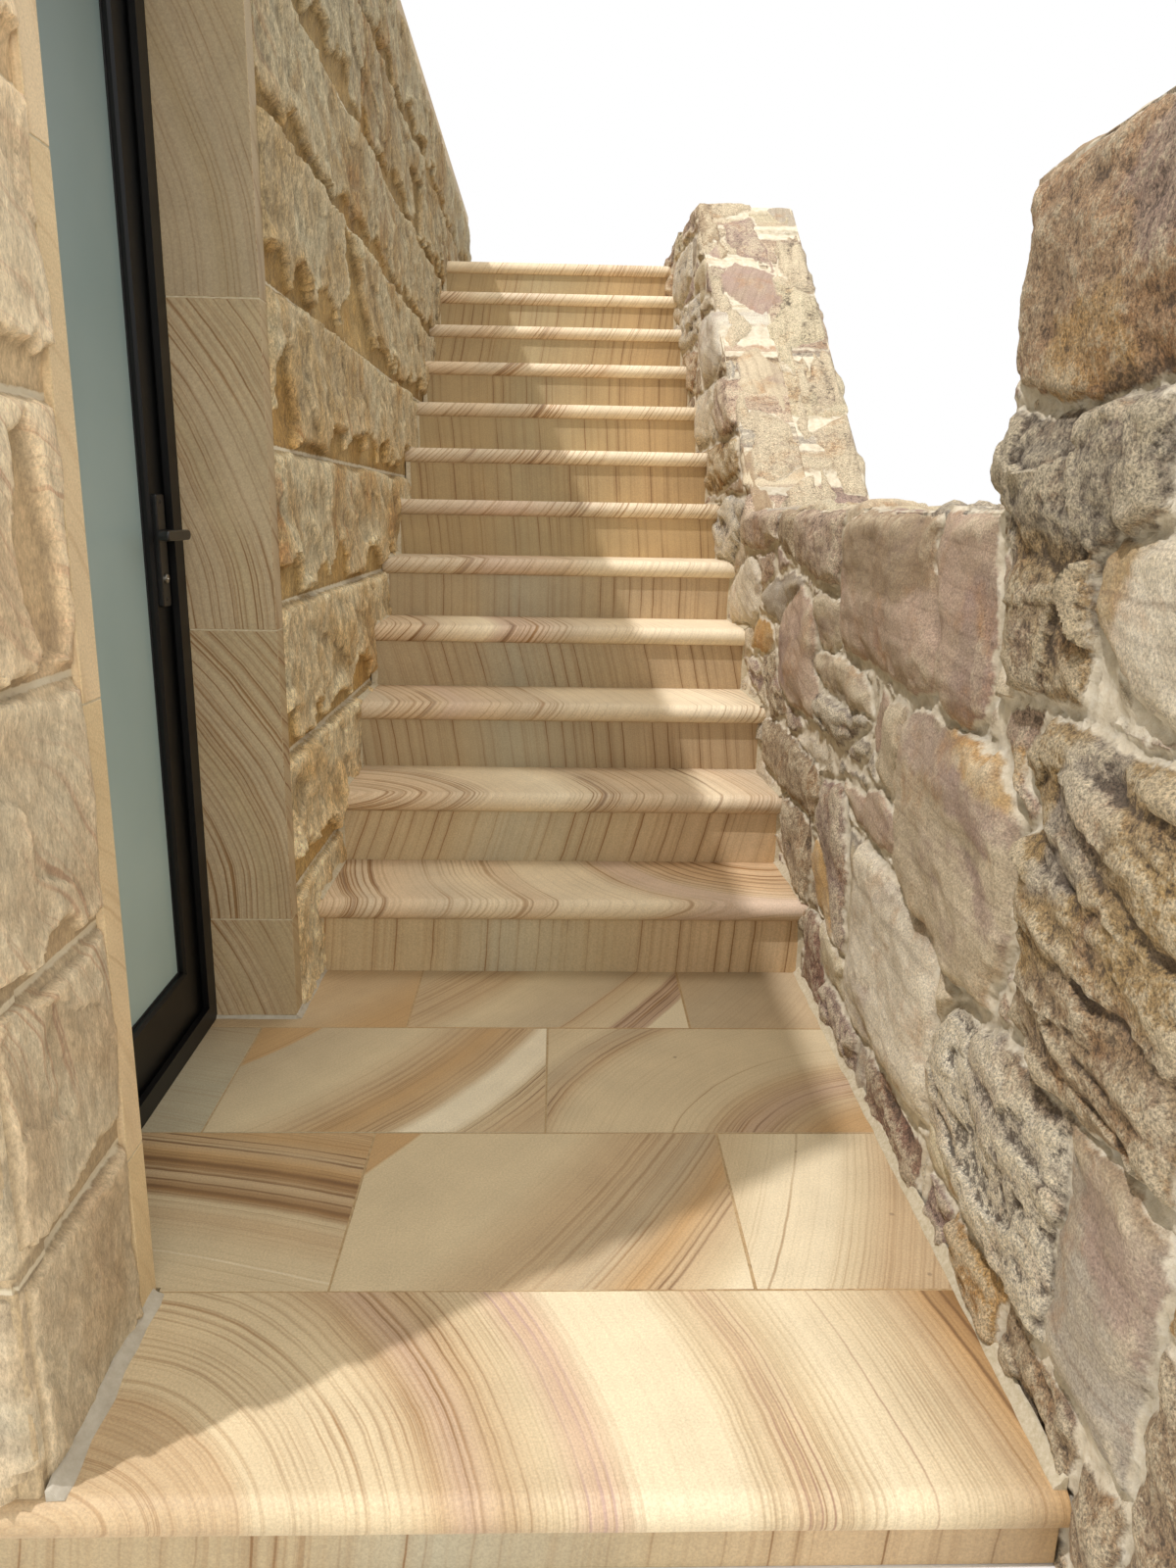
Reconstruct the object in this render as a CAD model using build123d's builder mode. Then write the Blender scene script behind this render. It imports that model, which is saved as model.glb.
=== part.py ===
from build123d import *
import os

# Outdoor stone steps between a rock-faced wall with a glazed door and a rubble wall.
# Millimetres. X runs to the right, Y up the flight and Z up.
# X = 0 is the middle of the clear width, Y = 0 is the nosing of the first tread
# above the landing, and Z = 0 is the lowest ground that the structure stands on.

# Flight
clear_width = 1140.0
step_count = 12
riser_height = 182.3
tread_going = 285.5
tread_overhang = 22.0
riser_slab = 30.0

# Sawn slabs of the treads and of the landing
slab_thickness = 50.0
flag_thickness = 50.0
flag_length = 597.0
flag_joint = 3.0
edge_joint = 4.0

# Landing
landing_height = 110.0
first_row_depth = 270.0
jamb_to_joint = 5.0
front_slab_depth = 343.0
first_flag_joint = 239.0

# Rock-faced wall on the left
wall_thickness = 300.0
rock_setback = 10.0
wall_height = 2670.0
wall_cap_thickness = 65.0
wall_cap_lip = 5.0
near_wall_length = 285.0
left_wall_run_on = 1200.0

# Doorway in the left wall
doorway_start = 225.0
doorway_width = 840.0
doorway_height = 2100.0
lining_thickness = 50.0
door_recess = 170.0

# Glazed door
frame_depth = 60.0
frame_sight = 45.0
sill_sight = 42.0
stop_thickness = 12.0
stop_cover = 7.0
seal_gap = 5.0
leaf_clearance = 7.0
stile_width = 78.0
bottom_rail = 118.0
glass_thickness = 12.0
glass_bite = 12.0
glass_play = 0.3
bead_chamfer = 5.0

# Lever handle and lock plates
lever_height = 1009.0
lever_reach = 120.0
lever_projection = 48.0
lever_radius = 9.0
spindle_radius = 4.0
spindle_play = 2.0
lever_play = 0.3
plate_height = 204.0
plate_width = 40.0
plate_thickness = 8.0
plate_above_lever = 72.0

# Lift-off hinges
hinge_count = 3
hinge_radius = 8.0
hinge_half = 48.0
hinge_gap = 0.5
hinge_stand_off = 1.0
hinge_plate = 3.0
hinge_plate_width = 32.0
hinge_margin = 260.0

# Rubble wall on the right
rubble_thickness = 340.0
rubble_splay = 85.0
pier_height = 1480.0
pier_start = 905.0
pier_length = 845.0
low_wall_height = 1080.0
rake_start = 870.0
rake_length = 1500.0
rake_top = 2255.0
end_block_length = 300.0
end_block_width = 180.0
end_block_height = 85.0
end_block_inset = 40.0

# Places that follow from the sizes above
left_face = -clear_width / 2
right_face = clear_width / 2
wall_face = left_face - rock_setback
wall_back = left_face - wall_thickness
door_face = left_face - door_recess
rubble_back = right_face + rubble_thickness
riser_back = tread_overhang + riser_slab
tread_depth = tread_going + riser_back
flight_end = step_count * tread_going + riser_back
flag_row_depth = (doorway_start + doorway_width + jamb_to_joint - first_row_depth) / 2
first_joint_y = -first_row_depth
second_joint_y = first_joint_y - flag_row_depth
third_joint_y = second_joint_y - flag_row_depth
landing_front = third_joint_y - front_slab_depth
front_riser_face = landing_front + tread_overhang
near_jamb = -doorway_start - doorway_width
far_jamb = -doorway_start
near_rough = near_jamb - lining_thickness
far_rough = far_jamb + lining_thickness
wall_front = near_rough - near_wall_length
wall_end = flight_end + left_wall_run_on
door_head = landing_height + doorway_height
rough_head = door_head + lining_thickness
wall_top = landing_height + wall_height


def step_top(step):
    return landing_height + step * riser_height


def step_nosing(step):
    return (step - 1) * tread_going


# The rubble wall closes in on the flight as it climbs, so slabs are trimmed to this plane
def rubble_plane(gap):
    foot = Vector(right_face - gap, 0, 0)
    head = Vector(right_face - gap - rubble_splay, flight_end, 0)
    along = (head - foot).normalized()
    return Plane(origin=foot, x_dir=along, z_dir=Vector(along.Y, -along.X, 0))


def save(name, piece):
    piece.label = name
    export_step(piece, "parts/" + name + ".step")


# Plain block between two corners, the form of the wall and bed pieces
def block(low_x, low_y, low_z, high_x, high_y, high_z):
    with BuildPart() as piece:
        with BuildSketch(Plane.XY.offset(low_z)):
            with Locations(((low_x + high_x) / 2, (low_y + high_y) / 2)):
                Rectangle(high_x - low_x, high_y - low_y)
        extrude(amount=high_z - low_z)
    return piece.part


# Slab with a full half-round nosing, drawn in section and run across to the rubble wall
def bullnose_slab(nosing_y, top_z, depth, low_x):
    radius = slab_thickness / 2
    under_z = top_z - slab_thickness
    back_y = nosing_y + depth
    with BuildPart() as slab:
        with BuildSketch(Plane.YZ.offset(low_x)):
            with BuildLine():
                under = Line((back_y, under_z), (nosing_y + radius, under_z))
                nose = ThreePointArc(under @ 1, (nosing_y, top_z - radius), (nosing_y + radius, top_z))
                Polyline(nose @ 1, (back_y, top_z), under @ 0)
            make_face()
        extrude(amount=right_face - edge_joint - low_x)
        split(bisect_by=rubble_plane(edge_joint), keep=Keep.BOTTOM)
    return slab.part


os.makedirs("parts", exist_ok=True)

# Treads: bullnosed slabs that run back under the next riser
for step in range(1, step_count + 1):
    tread = bullnose_slab(step_nosing(step), step_top(step), tread_depth, wall_face + edge_joint)
    save("tread_%02d" % step, tread)

# Risers: sawn slabs that stand on the tread below and carry the nosing above
riser_width = right_face - wall_face - 2 * edge_joint
with BuildPart() as risers:
    for step in range(1, step_count + 1):
        with BuildSketch(Plane.XY.offset(step_top(step - 1))):
            with Locations((wall_face + edge_joint + riser_width / 2, step_nosing(step) + riser_back - riser_slab / 2)):
                Rectangle(riser_width, riser_slab)
        extrude(amount=riser_height - slab_thickness)
    split(bisect_by=rubble_plane(edge_joint), keep=Keep.BOTTOM)
save("risers", risers.part)

# Masonry core of the flight, stepped behind the risers and under the treads
with BuildPart() as stair_core:
    with BuildSketch(Plane.YZ.offset(wall_face)):
        with BuildLine():
            outline = [(riser_back, 0)]
            for step in range(1, step_count + 1):
                outline.append((step_nosing(step) + riser_back, step_top(step) - slab_thickness))
                outline.append((step_nosing(step + 1) + riser_back, step_top(step) - slab_thickness))
            outline.append((flight_end, 0))
            Polyline(*outline, close=True)
        make_face()
    extrude(amount=right_face - wall_face)
    split(bisect_by=rubble_plane(0), keep=Keep.BOTTOM)
save("stair_core", stair_core.part)

# Landing bed, which also fills the floor of the door recess and carries the near wall
bed_front = front_riser_face + riser_slab
with BuildPart() as landing_base:
    with BuildSketch(Plane.XY):
        with BuildLine():
            Polyline(
                (wall_back, bed_front),
                (right_face, bed_front),
                (right_face, riser_back),
                (wall_face, riser_back),
                (wall_face, far_rough),
                (left_face, far_rough),
                (left_face, far_jamb),
                (door_face, far_jamb),
                (door_face, third_joint_y),
                (wall_back, third_joint_y),
                close=True,
            )
        make_face()
    extrude(amount=landing_height - flag_thickness)
    split(bisect_by=rubble_plane(0), keep=Keep.BOTTOM)
save("landing_base", landing_base.part)

# Front step of the landing: a bullnosed slab on a low riser
front_slab = bullnose_slab(landing_front, landing_height, front_slab_depth - flag_joint / 2, wall_back)
save("landing_front_slab", front_slab)
front_riser = block(
    wall_back, front_riser_face, 0, right_face - edge_joint, bed_front, landing_height - slab_thickness
)
save("landing_front_riser", front_riser)


# Flags: rows in running bond that fill the landing and the floor of the door recess
def flag_row(row_front, row_back, joint_x):
    row_left = left_face + edge_joint
    row_right = right_face - edge_joint
    recess_length = doorway_width - 2 * edge_joint
    with BuildPart() as row:
        with BuildSketch(Plane.XY.offset(landing_height - flag_thickness)):
            with Locations(((row_left + row_right) / 2, (row_front + row_back) / 2)):
                Rectangle(row_right - row_left, row_back - row_front)
            with Locations(((door_face + row_left) / 2, (near_jamb + far_jamb) / 2)):
                Rectangle(row_left - door_face, recess_length)
            with Locations(((door_face + row_right) / 2, (row_front + row_back) / 2)):
                Rectangle(row_right - door_face, row_back - row_front, mode=Mode.INTERSECT)
            while joint_x < right_face:
                with Locations((joint_x, (row_front + row_back) / 2)):
                    Rectangle(flag_joint, 2 * flag_row_depth, mode=Mode.SUBTRACT)
                joint_x = joint_x + flag_length + flag_joint
        extrude(amount=flag_thickness)
        split(bisect_by=rubble_plane(edge_joint), keep=Keep.BOTTOM)
    return row.part


half_joint = flag_joint / 2
straight_joint_x = left_face + first_flag_joint
staggered_joint_x = straight_joint_x - (flag_length + flag_joint) / 2
save("flags_row_1", flag_row(first_joint_y + half_joint, riser_back, straight_joint_x))
save("flags_row_2", flag_row(second_joint_y + half_joint, first_joint_y - half_joint, staggered_joint_x))
save("flags_row_3", flag_row(third_joint_y + half_joint, second_joint_y - half_joint, straight_joint_x))

# Left wall, split beside and over the doorway
save("near_wall", block(wall_back, wall_front, landing_height, wall_face, near_rough, wall_top))
save("far_wall", block(wall_back, far_rough, 0, wall_face, wall_end, wall_top))
save("wall_over_door", block(wall_back, near_rough, rough_head, wall_face, far_rough, wall_top))
wall_cap = block(
    wall_back - wall_cap_lip,
    wall_front - wall_cap_lip,
    wall_top,
    wall_face + wall_cap_lip,
    wall_end + wall_cap_lip,
    wall_top + wall_cap_thickness,
)
save("wall_cap", wall_cap)

# Dressed lining slabs of the doorway
save("near_lining", block(door_face, near_rough, landing_height, left_face, near_jamb, door_head))
save("far_lining", block(door_face, far_jamb, 0, left_face, far_rough, door_head))
save("head_lining", block(door_face, near_rough, door_head, left_face, far_rough, rough_head))
save("door_threshold", block(wall_back, third_joint_y, 0, door_face, far_rough, landing_height))

# Door frame: a ring with a stop on its outer side that the leaf closes against
stop_near = near_jamb + frame_sight
stop_far = far_jamb - frame_sight
stop_foot = landing_height + sill_sight
stop_head = door_head - frame_sight
rebate = stop_cover + leaf_clearance
frame_back = door_face - frame_depth


def rectangle_yz(near_y, low_z, far_y, high_z, grow, mode=Mode.ADD):
    with Locations(((near_y + far_y) / 2, (low_z + high_z) / 2)):
        Rectangle(far_y - near_y + 2 * grow, high_z - low_z + 2 * grow, mode=mode)


with BuildPart() as door_frame:
    with BuildSketch(Plane.YZ.offset(frame_back)):
        rectangle_yz(near_rough, landing_height, far_rough, rough_head, 0)
        rectangle_yz(stop_near, stop_foot, stop_far, stop_head, rebate, Mode.SUBTRACT)
    extrude(amount=frame_depth)
    with BuildSketch(Plane.YZ.offset(door_face - stop_thickness)):
        rectangle_yz(stop_near, stop_foot, stop_far, stop_head, rebate)
        rectangle_yz(stop_near, stop_foot, stop_far, stop_head, 0, Mode.SUBTRACT)
    extrude(amount=stop_thickness)
save("door_frame", door_frame.part)

# Door leaf: stiles and rails with a glazing groove all round and a spindle hole
leaf_near = stop_near - stop_cover
leaf_far = stop_far + stop_cover
leaf_foot = stop_foot - stop_cover
leaf_head = stop_head + stop_cover
leaf_front = door_face - stop_thickness - seal_gap
leaf_thickness = leaf_front - frame_back
glass_middle = (leaf_front + frame_back) / 2
sight_near = leaf_near + stile_width
sight_far = leaf_far - stile_width
sight_foot = leaf_foot + bottom_rail
sight_head = leaf_head - stile_width
lever_y = leaf_far - stile_width / 2 - stop_cover / 2
lever_z = landing_height + lever_height
groove = glass_thickness + 2 * glass_play
with BuildPart() as door_leaf:
    with BuildSketch(Plane.YZ.offset(frame_back)):
        rectangle_yz(leaf_near, leaf_foot, leaf_far, leaf_head, 0)
        rectangle_yz(sight_near, sight_foot, sight_far, sight_head, 0, Mode.SUBTRACT)
        with Locations((lever_y, lever_z)):
            Circle(spindle_radius + spindle_play, mode=Mode.SUBTRACT)
    extrude(amount=leaf_thickness)
    outer_face = door_leaf.faces().sort_by(Axis.X)[-1]
    chamfer(outer_face.inner_wires().sort_by(SortBy.LENGTH)[-1].edges(), bead_chamfer)
    with BuildSketch(Plane.YZ.offset(glass_middle - groove / 2)):
        rectangle_yz(sight_near, sight_foot, sight_far, sight_head, glass_bite)
    extrude(amount=groove, mode=Mode.SUBTRACT)
save("door_leaf", door_leaf.part)

# Frosted pane, held in the groove
with BuildPart() as door_glass:
    with BuildSketch(Plane.YZ.offset(glass_middle - glass_thickness / 2)):
        rectangle_yz(sight_near, sight_foot, sight_far, sight_head, glass_bite - glass_play)
    extrude(amount=glass_thickness)
save("door_glass", door_glass.part)


# Lock plate on each side of the leaf
def lock_plate(face_x, outward):
    plate_middle = lever_z + plate_above_lever - plate_height / 2
    with BuildPart() as plate:
        with BuildSketch(Plane.YZ.offset(face_x)):
            with Locations((lever_y, plate_middle)):
                RectangleRounded(plate_width, plate_height, plate_width / 8)
            with Locations((lever_y, lever_z)):
                Circle(spindle_radius + spindle_play, mode=Mode.SUBTRACT)
        extrude(amount=outward * plate_thickness)
        rim = plate.faces().sort_by(Axis.X)[-1 if outward > 0 else 0]
        chamfer(rim.outer_wire().edges(), plate_thickness / 4)
    return plate.part


save("lock_plate_outside", lock_plate(leaf_front, 1))
save("lock_plate_inside", lock_plate(frame_back, -1))

# Lever handle: a spindle through the leaf with a neck and an arm at each end
outside_start = leaf_front + plate_thickness + lever_play
inside_start = frame_back - plate_thickness - lever_play
outside_arm = leaf_front + lever_projection
inside_arm = frame_back - lever_projection
with BuildPart() as door_lever:
    with BuildSketch(Plane.YZ.offset(inside_arm)):
        with Locations((lever_y, lever_z)):
            Circle(spindle_radius)
    extrude(amount=outside_arm - inside_arm)
    with BuildSketch(Plane.YZ.offset(outside_start)):
        with Locations((lever_y, lever_z)):
            Circle(lever_radius)
    extrude(amount=outside_arm - outside_start)
    with BuildSketch(Plane.YZ.offset(inside_start)):
        with Locations((lever_y, lever_z)):
            Circle(lever_radius)
    extrude(amount=inside_arm - inside_start)
    for arm_x in (outside_arm, inside_arm):
        with BuildSketch(Plane.YZ.offset(arm_x - lever_radius)):
            with Locations((lever_y - lever_reach / 2 + lever_radius, lever_z)):
                SlotOverall(lever_reach, 2 * lever_radius)
        extrude(amount=2 * lever_radius)
    arm_faces = door_lever.faces().sort_by(Axis.X)
    fillet(arm_faces[0].edges() + arm_faces[-1].edges(), lever_radius / 3)
save("door_lever", door_lever.part)

# Lift-off hinges: the frame carries the lower knuckles and the leaf the upper ones
hinge_x = frame_back - hinge_stand_off - hinge_radius
hinge_y = leaf_near - leaf_clearance / 2


def hinge_half_set(knuckle_start, plate_side):
    hinge_run = leaf_head - leaf_foot - 2 * hinge_margin
    with BuildPart() as halves:
        for number in range(hinge_count):
            middle_z = leaf_foot + hinge_margin + number * hinge_run / (hinge_count - 1)
            with BuildSketch(Plane.XY.offset(middle_z + knuckle_start)):
                with Locations((hinge_x, hinge_y)):
                    Circle(hinge_radius)
                with Locations((frame_back - hinge_plate / 2, hinge_y + plate_side * hinge_plate_width / 2)):
                    Rectangle(hinge_plate, hinge_plate_width)
            extrude(amount=hinge_half)
    return halves.part


save("hinges_frame_half", hinge_half_set(-hinge_half - hinge_gap / 2, -1))
save("hinges_leaf_half", hinge_half_set(hinge_gap / 2, 1))

# Rubble wall: a high pier, a level length and a raking length beside the flight
pier_far = -pier_start
rubble_end_face = right_face - rubble_splay
pier = block(right_face, pier_far - pier_length, 0, rubble_back, pier_far, landing_height + pier_height)
save("rubble_pier", pier)

low_wall_face_far = right_face - rubble_splay * rake_start / flight_end
with BuildPart() as low_wall:
    with BuildSketch(Plane.XY):
        with BuildLine():
            Polyline(
                (right_face, pier_far),
                (right_face, 0),
                (low_wall_face_far, rake_start),
                (rubble_back, rake_start),
                (rubble_back, pier_far),
                close=True,
            )
        make_face()
    extrude(amount=landing_height + low_wall_height)
save("rubble_low_wall", low_wall.part)

with BuildPart() as raking_wall:
    with BuildSketch(Plane.YZ.offset(rubble_end_face)):
        with BuildLine():
            Polyline(
                (rake_start, 0),
                (rake_start, landing_height + low_wall_height),
                (rake_start + rake_length, landing_height + rake_top),
                (flight_end, landing_height + rake_top),
                (flight_end, 0),
                close=True,
            )
        make_face()
    extrude(amount=rubble_back - rubble_end_face)
    split(bisect_by=rubble_plane(0), keep=Keep.TOP)
save("rubble_raking_wall", raking_wall.part)

# Sawn block that closes the top of the rubble wall
block_foot = landing_height + rake_top
block_face = rubble_end_face + end_block_inset
end_block = block(
    block_face,
    flight_end - end_block_length,
    block_foot,
    block_face + end_block_width,
    flight_end,
    block_foot + end_block_height,
)
save("rubble_end_block", end_block)
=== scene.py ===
import functools
import math
import bmesh
import bpy
import numpy as np
from mathutils import Matrix, Vector


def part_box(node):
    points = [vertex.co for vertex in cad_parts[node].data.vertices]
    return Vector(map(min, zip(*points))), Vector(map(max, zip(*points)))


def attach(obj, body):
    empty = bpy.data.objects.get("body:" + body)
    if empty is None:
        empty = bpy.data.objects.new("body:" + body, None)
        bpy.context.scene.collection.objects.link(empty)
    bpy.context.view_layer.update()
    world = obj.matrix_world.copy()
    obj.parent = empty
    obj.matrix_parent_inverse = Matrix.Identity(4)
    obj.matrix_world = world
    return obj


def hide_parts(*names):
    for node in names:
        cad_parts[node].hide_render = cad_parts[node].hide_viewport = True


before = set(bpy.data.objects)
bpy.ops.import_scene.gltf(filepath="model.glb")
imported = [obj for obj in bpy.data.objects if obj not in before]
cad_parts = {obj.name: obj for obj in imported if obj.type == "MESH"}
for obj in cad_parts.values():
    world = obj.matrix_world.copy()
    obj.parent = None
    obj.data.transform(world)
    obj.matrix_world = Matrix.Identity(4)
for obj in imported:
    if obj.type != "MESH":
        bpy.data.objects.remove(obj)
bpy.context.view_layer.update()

# Outdoor stone steps: sawn sandstone treads and flags between a coursed rock-faced
# wall with a glazed door and a rubble wall. Metres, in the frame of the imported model.

# Places on the structure
LEFT_FACE = -0.570
WALL_FACE = -0.580
WALL_BACK = -0.870
ROUGH_BACK = WALL_BACK + 0.012
RIGHT_FACE = 0.570
FLAG_EDGE = 0.566
LINING_EDGE = -0.740
RUBBLE_BACK = 0.910
RUBBLE_OUTER = RUBBLE_BACK - 0.012
RUBBLE_SPLAY = 0.085
FLIGHT_END = 3.478
LANDING_TOP = 0.110
RISE = 0.1823
GOING = 0.2855
OVERHANG = 0.022
SLAB = 0.050
STEP_COUNT = 12
WALL_START = -1.400
WALL_PART = 1.450
WALL_END = 4.678
WALL_TOP = 2.780
NEAR_ROUGH = -1.115
FAR_ROUGH = -0.175
ROUGH_HEAD = 2.260
PIER_START = -1.750
PIER_END = -0.905
PIER_TOP = 1.590
LOW_TOP = 1.190
RAKE_START = 0.870
RAKE_END = 2.370
RAKE_TOP = 2.365

ACROSS = (1.0, 0.0, 0.0)
ALONG = (0.0, 1.0, 0.0)
UP = (0.0, 0.0, 1.0)
OUTWARD = {"+x": (1.0, 0.0, 0.0), "-x": (-1.0, 0.0, 0.0), "+y": (0.0, 1.0, 0.0), "-y": (0.0, -1.0, 0.0)}


# Objects, nodes and materials

def link_new(name, data):
    """A new object that holds this data, linked to the scene."""
    made = bpy.data.objects.new(name, data)
    bpy.context.collection.objects.link(made)
    return made


def mesh_object(name, points, faces, sharp=None, turn_out=True):
    """A mesh object; faces turn outwards, and edges are soft below the sharp angle in degrees."""
    shape = bpy.data.meshes.new(name)
    shape.from_pydata(points, [], faces)
    if turn_out:
        work = bmesh.new()
        work.from_mesh(shape)
        bmesh.ops.recalc_face_normals(work, faces=work.faces[:])
        work.to_mesh(shape)
        work.free()
    if sharp:
        shape.shade_smooth()
        shape.set_sharp_from_angle(angle=math.radians(sharp))
    return link_new(name, shape)


def settle(piece, finish, stands_for=(), body="structure"):
    """Gives a piece its material and slot, hides the parts it stands for and hangs it on its body."""
    if finish is not None:
        piece.data.materials.append(finish)
    if stands_for:
        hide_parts(*stands_for)
    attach(piece, body)


def dress(node, finish):
    """A CAD node keeps its shape and takes a better material."""
    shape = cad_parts[node].data
    for index in range(len(shape.materials)):
        shape.materials[index] = finish


def to_linear(code):
    """An sRGB hex colour as linear red, green, blue and alpha."""
    channels = []
    for start in (1, 3, 5):
        level = int(code[start:start + 2], 16) / 255.0
        channels.append(level / 12.92 if level <= 0.04045 else ((level + 0.055) / 1.055) ** 2.4)
    return (*channels, 1.0)


def feed(node, inputs):
    """Links or sets inputs of a node, by name or in socket order; a text is a hex colour."""
    for socket, value in inputs.items() if isinstance(inputs, dict) else enumerate(inputs):
        if isinstance(value, bpy.types.NodeSocket):
            node.id_data.links.new(value, node.inputs[socket])
        else:
            node.inputs[socket].default_value = to_linear(value) if isinstance(value, str) else value


def add_node(tree, kind, inputs=(), out=0, stops=(), **settings):
    """Adds one shader node with its settings, ramp stops, values and links; one output comes back."""
    node = tree.nodes.new("ShaderNode" + kind)
    for name, value in settings.items():
        setattr(node, name, value)
    if stops:
        elements = node.color_ramp.elements
        while len(elements) < len(stops):
            elements.new(0.5)
        for element, (place, tone) in zip(elements, stops):
            element.position = place
        for element, (place, tone) in zip(elements, stops):
            element.color = to_linear(tone) if isinstance(tone, str) else (tone, tone, tone, 1.0)
    feed(node, inputs)
    return node.outputs[out] if len(node.outputs) else node


def new_finish(name, inputs=()):
    """A material with constant inputs: it, its own add_node and its surface shader come back."""
    finish = bpy.data.materials.new(name)
    finish.use_nodes = True
    shader = finish.node_tree.nodes["Principled BSDF"]
    feed(shader, inputs)
    return finish, functools.partial(add_node, finish.node_tree), shader


# Camera, light and floor

def stand_camera():
    """The photograph's own viewpoint, an ordinary phone lens held at chest height."""
    lens_data = bpy.data.cameras.new("viewpoint")
    lens_data.sensor_fit = "VERTICAL"
    lens_data.sensor_height = 36.0
    lens_data.lens = 24.948
    lens_data.clip_start = 0.02
    lens_data.clip_end = 60.0
    place = (-0.01887, -2.37798, 1.17328)
    sideways, down, askew = -0.0296068, -0.245861, -0.0172306
    turn = Matrix.Rotation(sideways, 4, "Z") @ Matrix.Rotation(down, 4, "X")
    turn = turn @ Matrix.Rotation(askew, 4, "Y") @ Matrix.Rotation(math.radians(90.0), 4, "X")
    viewpoint = link_new("viewpoint", lens_data)
    viewpoint.matrix_world = Matrix.Translation(place) @ turn
    bpy.context.scene.camera = viewpoint


def lay_floor():
    """A plain pale floor, wide enough to catch the shadow from every side."""
    half = 14.0
    corners = [(x, y, 0.0) for x, y in rectangle(-half, half, -half, half)]
    floor = mesh_object("floor", corners, [(0, 1, 2, 3)], turn_out=False)
    floor.location = (0.0, 1.5, -0.001)
    finish = new_finish("pale_matt_floor", {"Base Color": "#e9e7e2", "Roughness": 0.9})[0]
    floor.data.materials.append(finish)


def light_up():
    """Open sky from all round, a lamp high on the left, and weaker broad ones overhead and in front."""
    world = bpy.data.worlds.new("sky")
    bpy.context.scene.world = world
    world.use_nodes = True
    world.node_tree.nodes.clear()
    add = functools.partial(add_node, world.node_tree)
    path = add("LightPath").node.outputs
    seen = add("Math", [path["Is Camera Ray"], path["Is Glossy Ray"]], operation="MAXIMUM")
    seen = add("Math", [seen, path["Is Transmission Ray"]], operation="MAXIMUM")
    soft = add("Background", ["#f6f7f8", 0.80])
    plain = add("Background", ["#ffffff", 1.0])
    add("OutputWorld", {"Surface": add("MixShader", [seen, soft, plain])})
    for name, place, aim, size, power, tone in (
        ("high_left_lamp", (-8.5, -6.6, 23.0), (0.0, 0.3, 0.5), 0.45, 5000.0, "#f8f8ff"),
        ("overhead_lamp", (0.4, 1.0, 8.0), (0.0, 0.9, 0.5), 3.0, 140.0, "#fffaf2"),
        ("front_lamp", (1.6, -6.3, 3.4), (0.0, 0.5, 0.7), 3.6, 140.0, "#fffcf6"),
    ):
        lamp_data = bpy.data.lights.new(name, "AREA")
        lamp_data.shape = "DISK"
        lamp_data.size = size
        lamp_data.energy = power
        lamp_data.color = to_linear(tone)[:3]
        facing = (Vector(place) - Vector(aim)).to_track_quat("Z", "Y").to_matrix().to_4x4()
        link_new(name, lamp_data).matrix_world = Matrix.Translation(place) @ facing


# Rough surfaces worked out on grids of points

def corner_value(ix, iy, seed):
    """A repeatable number from 0 to 1 for each whole-number corner."""
    mixed = ix.astype(np.int64) * 374761393 + iy.astype(np.int64) * 668265263 + seed * 974711
    mixed = mixed & 0xFFFFFFFF
    mixed = ((mixed ^ (mixed >> 13)) * 1274126177) & 0xFFFFFFFF
    mixed = mixed ^ (mixed >> 16)
    return (mixed & 0xFFFFFF) / float(0xFFFFFF)


def ease(x):
    """Smooth start and end for a share running from 0 to 1."""
    return x * x * x * (x * (x * 6.0 - 15.0) + 10.0)


def step_up(low, high, x):
    """0 below low, 1 above high and a smooth change between them."""
    t = np.clip((x - low) / (high - low), 0.0, 1.0)
    return t * t * (3.0 - 2.0 * t)


def roll(x, y, seed):
    """Smooth rolling noise, about -1 to 1, with one swell to each unit."""
    ix, iy = np.floor(x), np.floor(y)
    fx, fy = x - ix, y - iy
    ux, uy = ease(fx), ease(fy)
    total = np.zeros_like(fx + fy)
    for cx in (0, 1):
        for cy in (0, 1):
            angle = 2.0 * math.pi * corner_value(ix + cx, iy + cy, seed)
            share = (ux if cx else 1.0 - ux) * (uy if cy else 1.0 - uy)
            total += share * (np.cos(angle) * (fx - cx) + np.sin(angle) * (fy - cy))
    return total * 1.5


def rough(x, y, seed, layers, fade=0.5):
    """Rolling noise with finer and weaker layers on it."""
    total = np.zeros_like(x + y)
    weight = 1.0
    for layer in range(layers):
        total += weight * roll(x * 2.0 ** layer, y * 2.0 ** layer, seed + 17 * layer)
        weight *= fade
    return total


def cells(x, y, seed):
    """Distance to the nearest and second nearest scattered point, and the nearest one's number."""
    ix, iy = np.floor(x), np.floor(y)
    near = np.full(np.shape(x + y), 9.0)
    second = np.full_like(near, 9.0)
    number = np.zeros_like(near)
    for ox in (-1, 0, 1):
        for oy in (-1, 0, 1):
            cx, cy = ix + ox, iy + oy
            px = cx + 0.15 + 0.7 * corner_value(cx, cy, seed)
            py = cy + 0.15 + 0.7 * corner_value(cx, cy, seed + 5)
            gap = np.hypot(px - x, py - y)
            closer = gap < near
            second = np.where(closer, near, np.minimum(second, gap))
            number = np.where(closer, corner_value(cx, cy, seed + 9), number)
            near = np.where(closer, gap, near)
    return near, second, number


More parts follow.
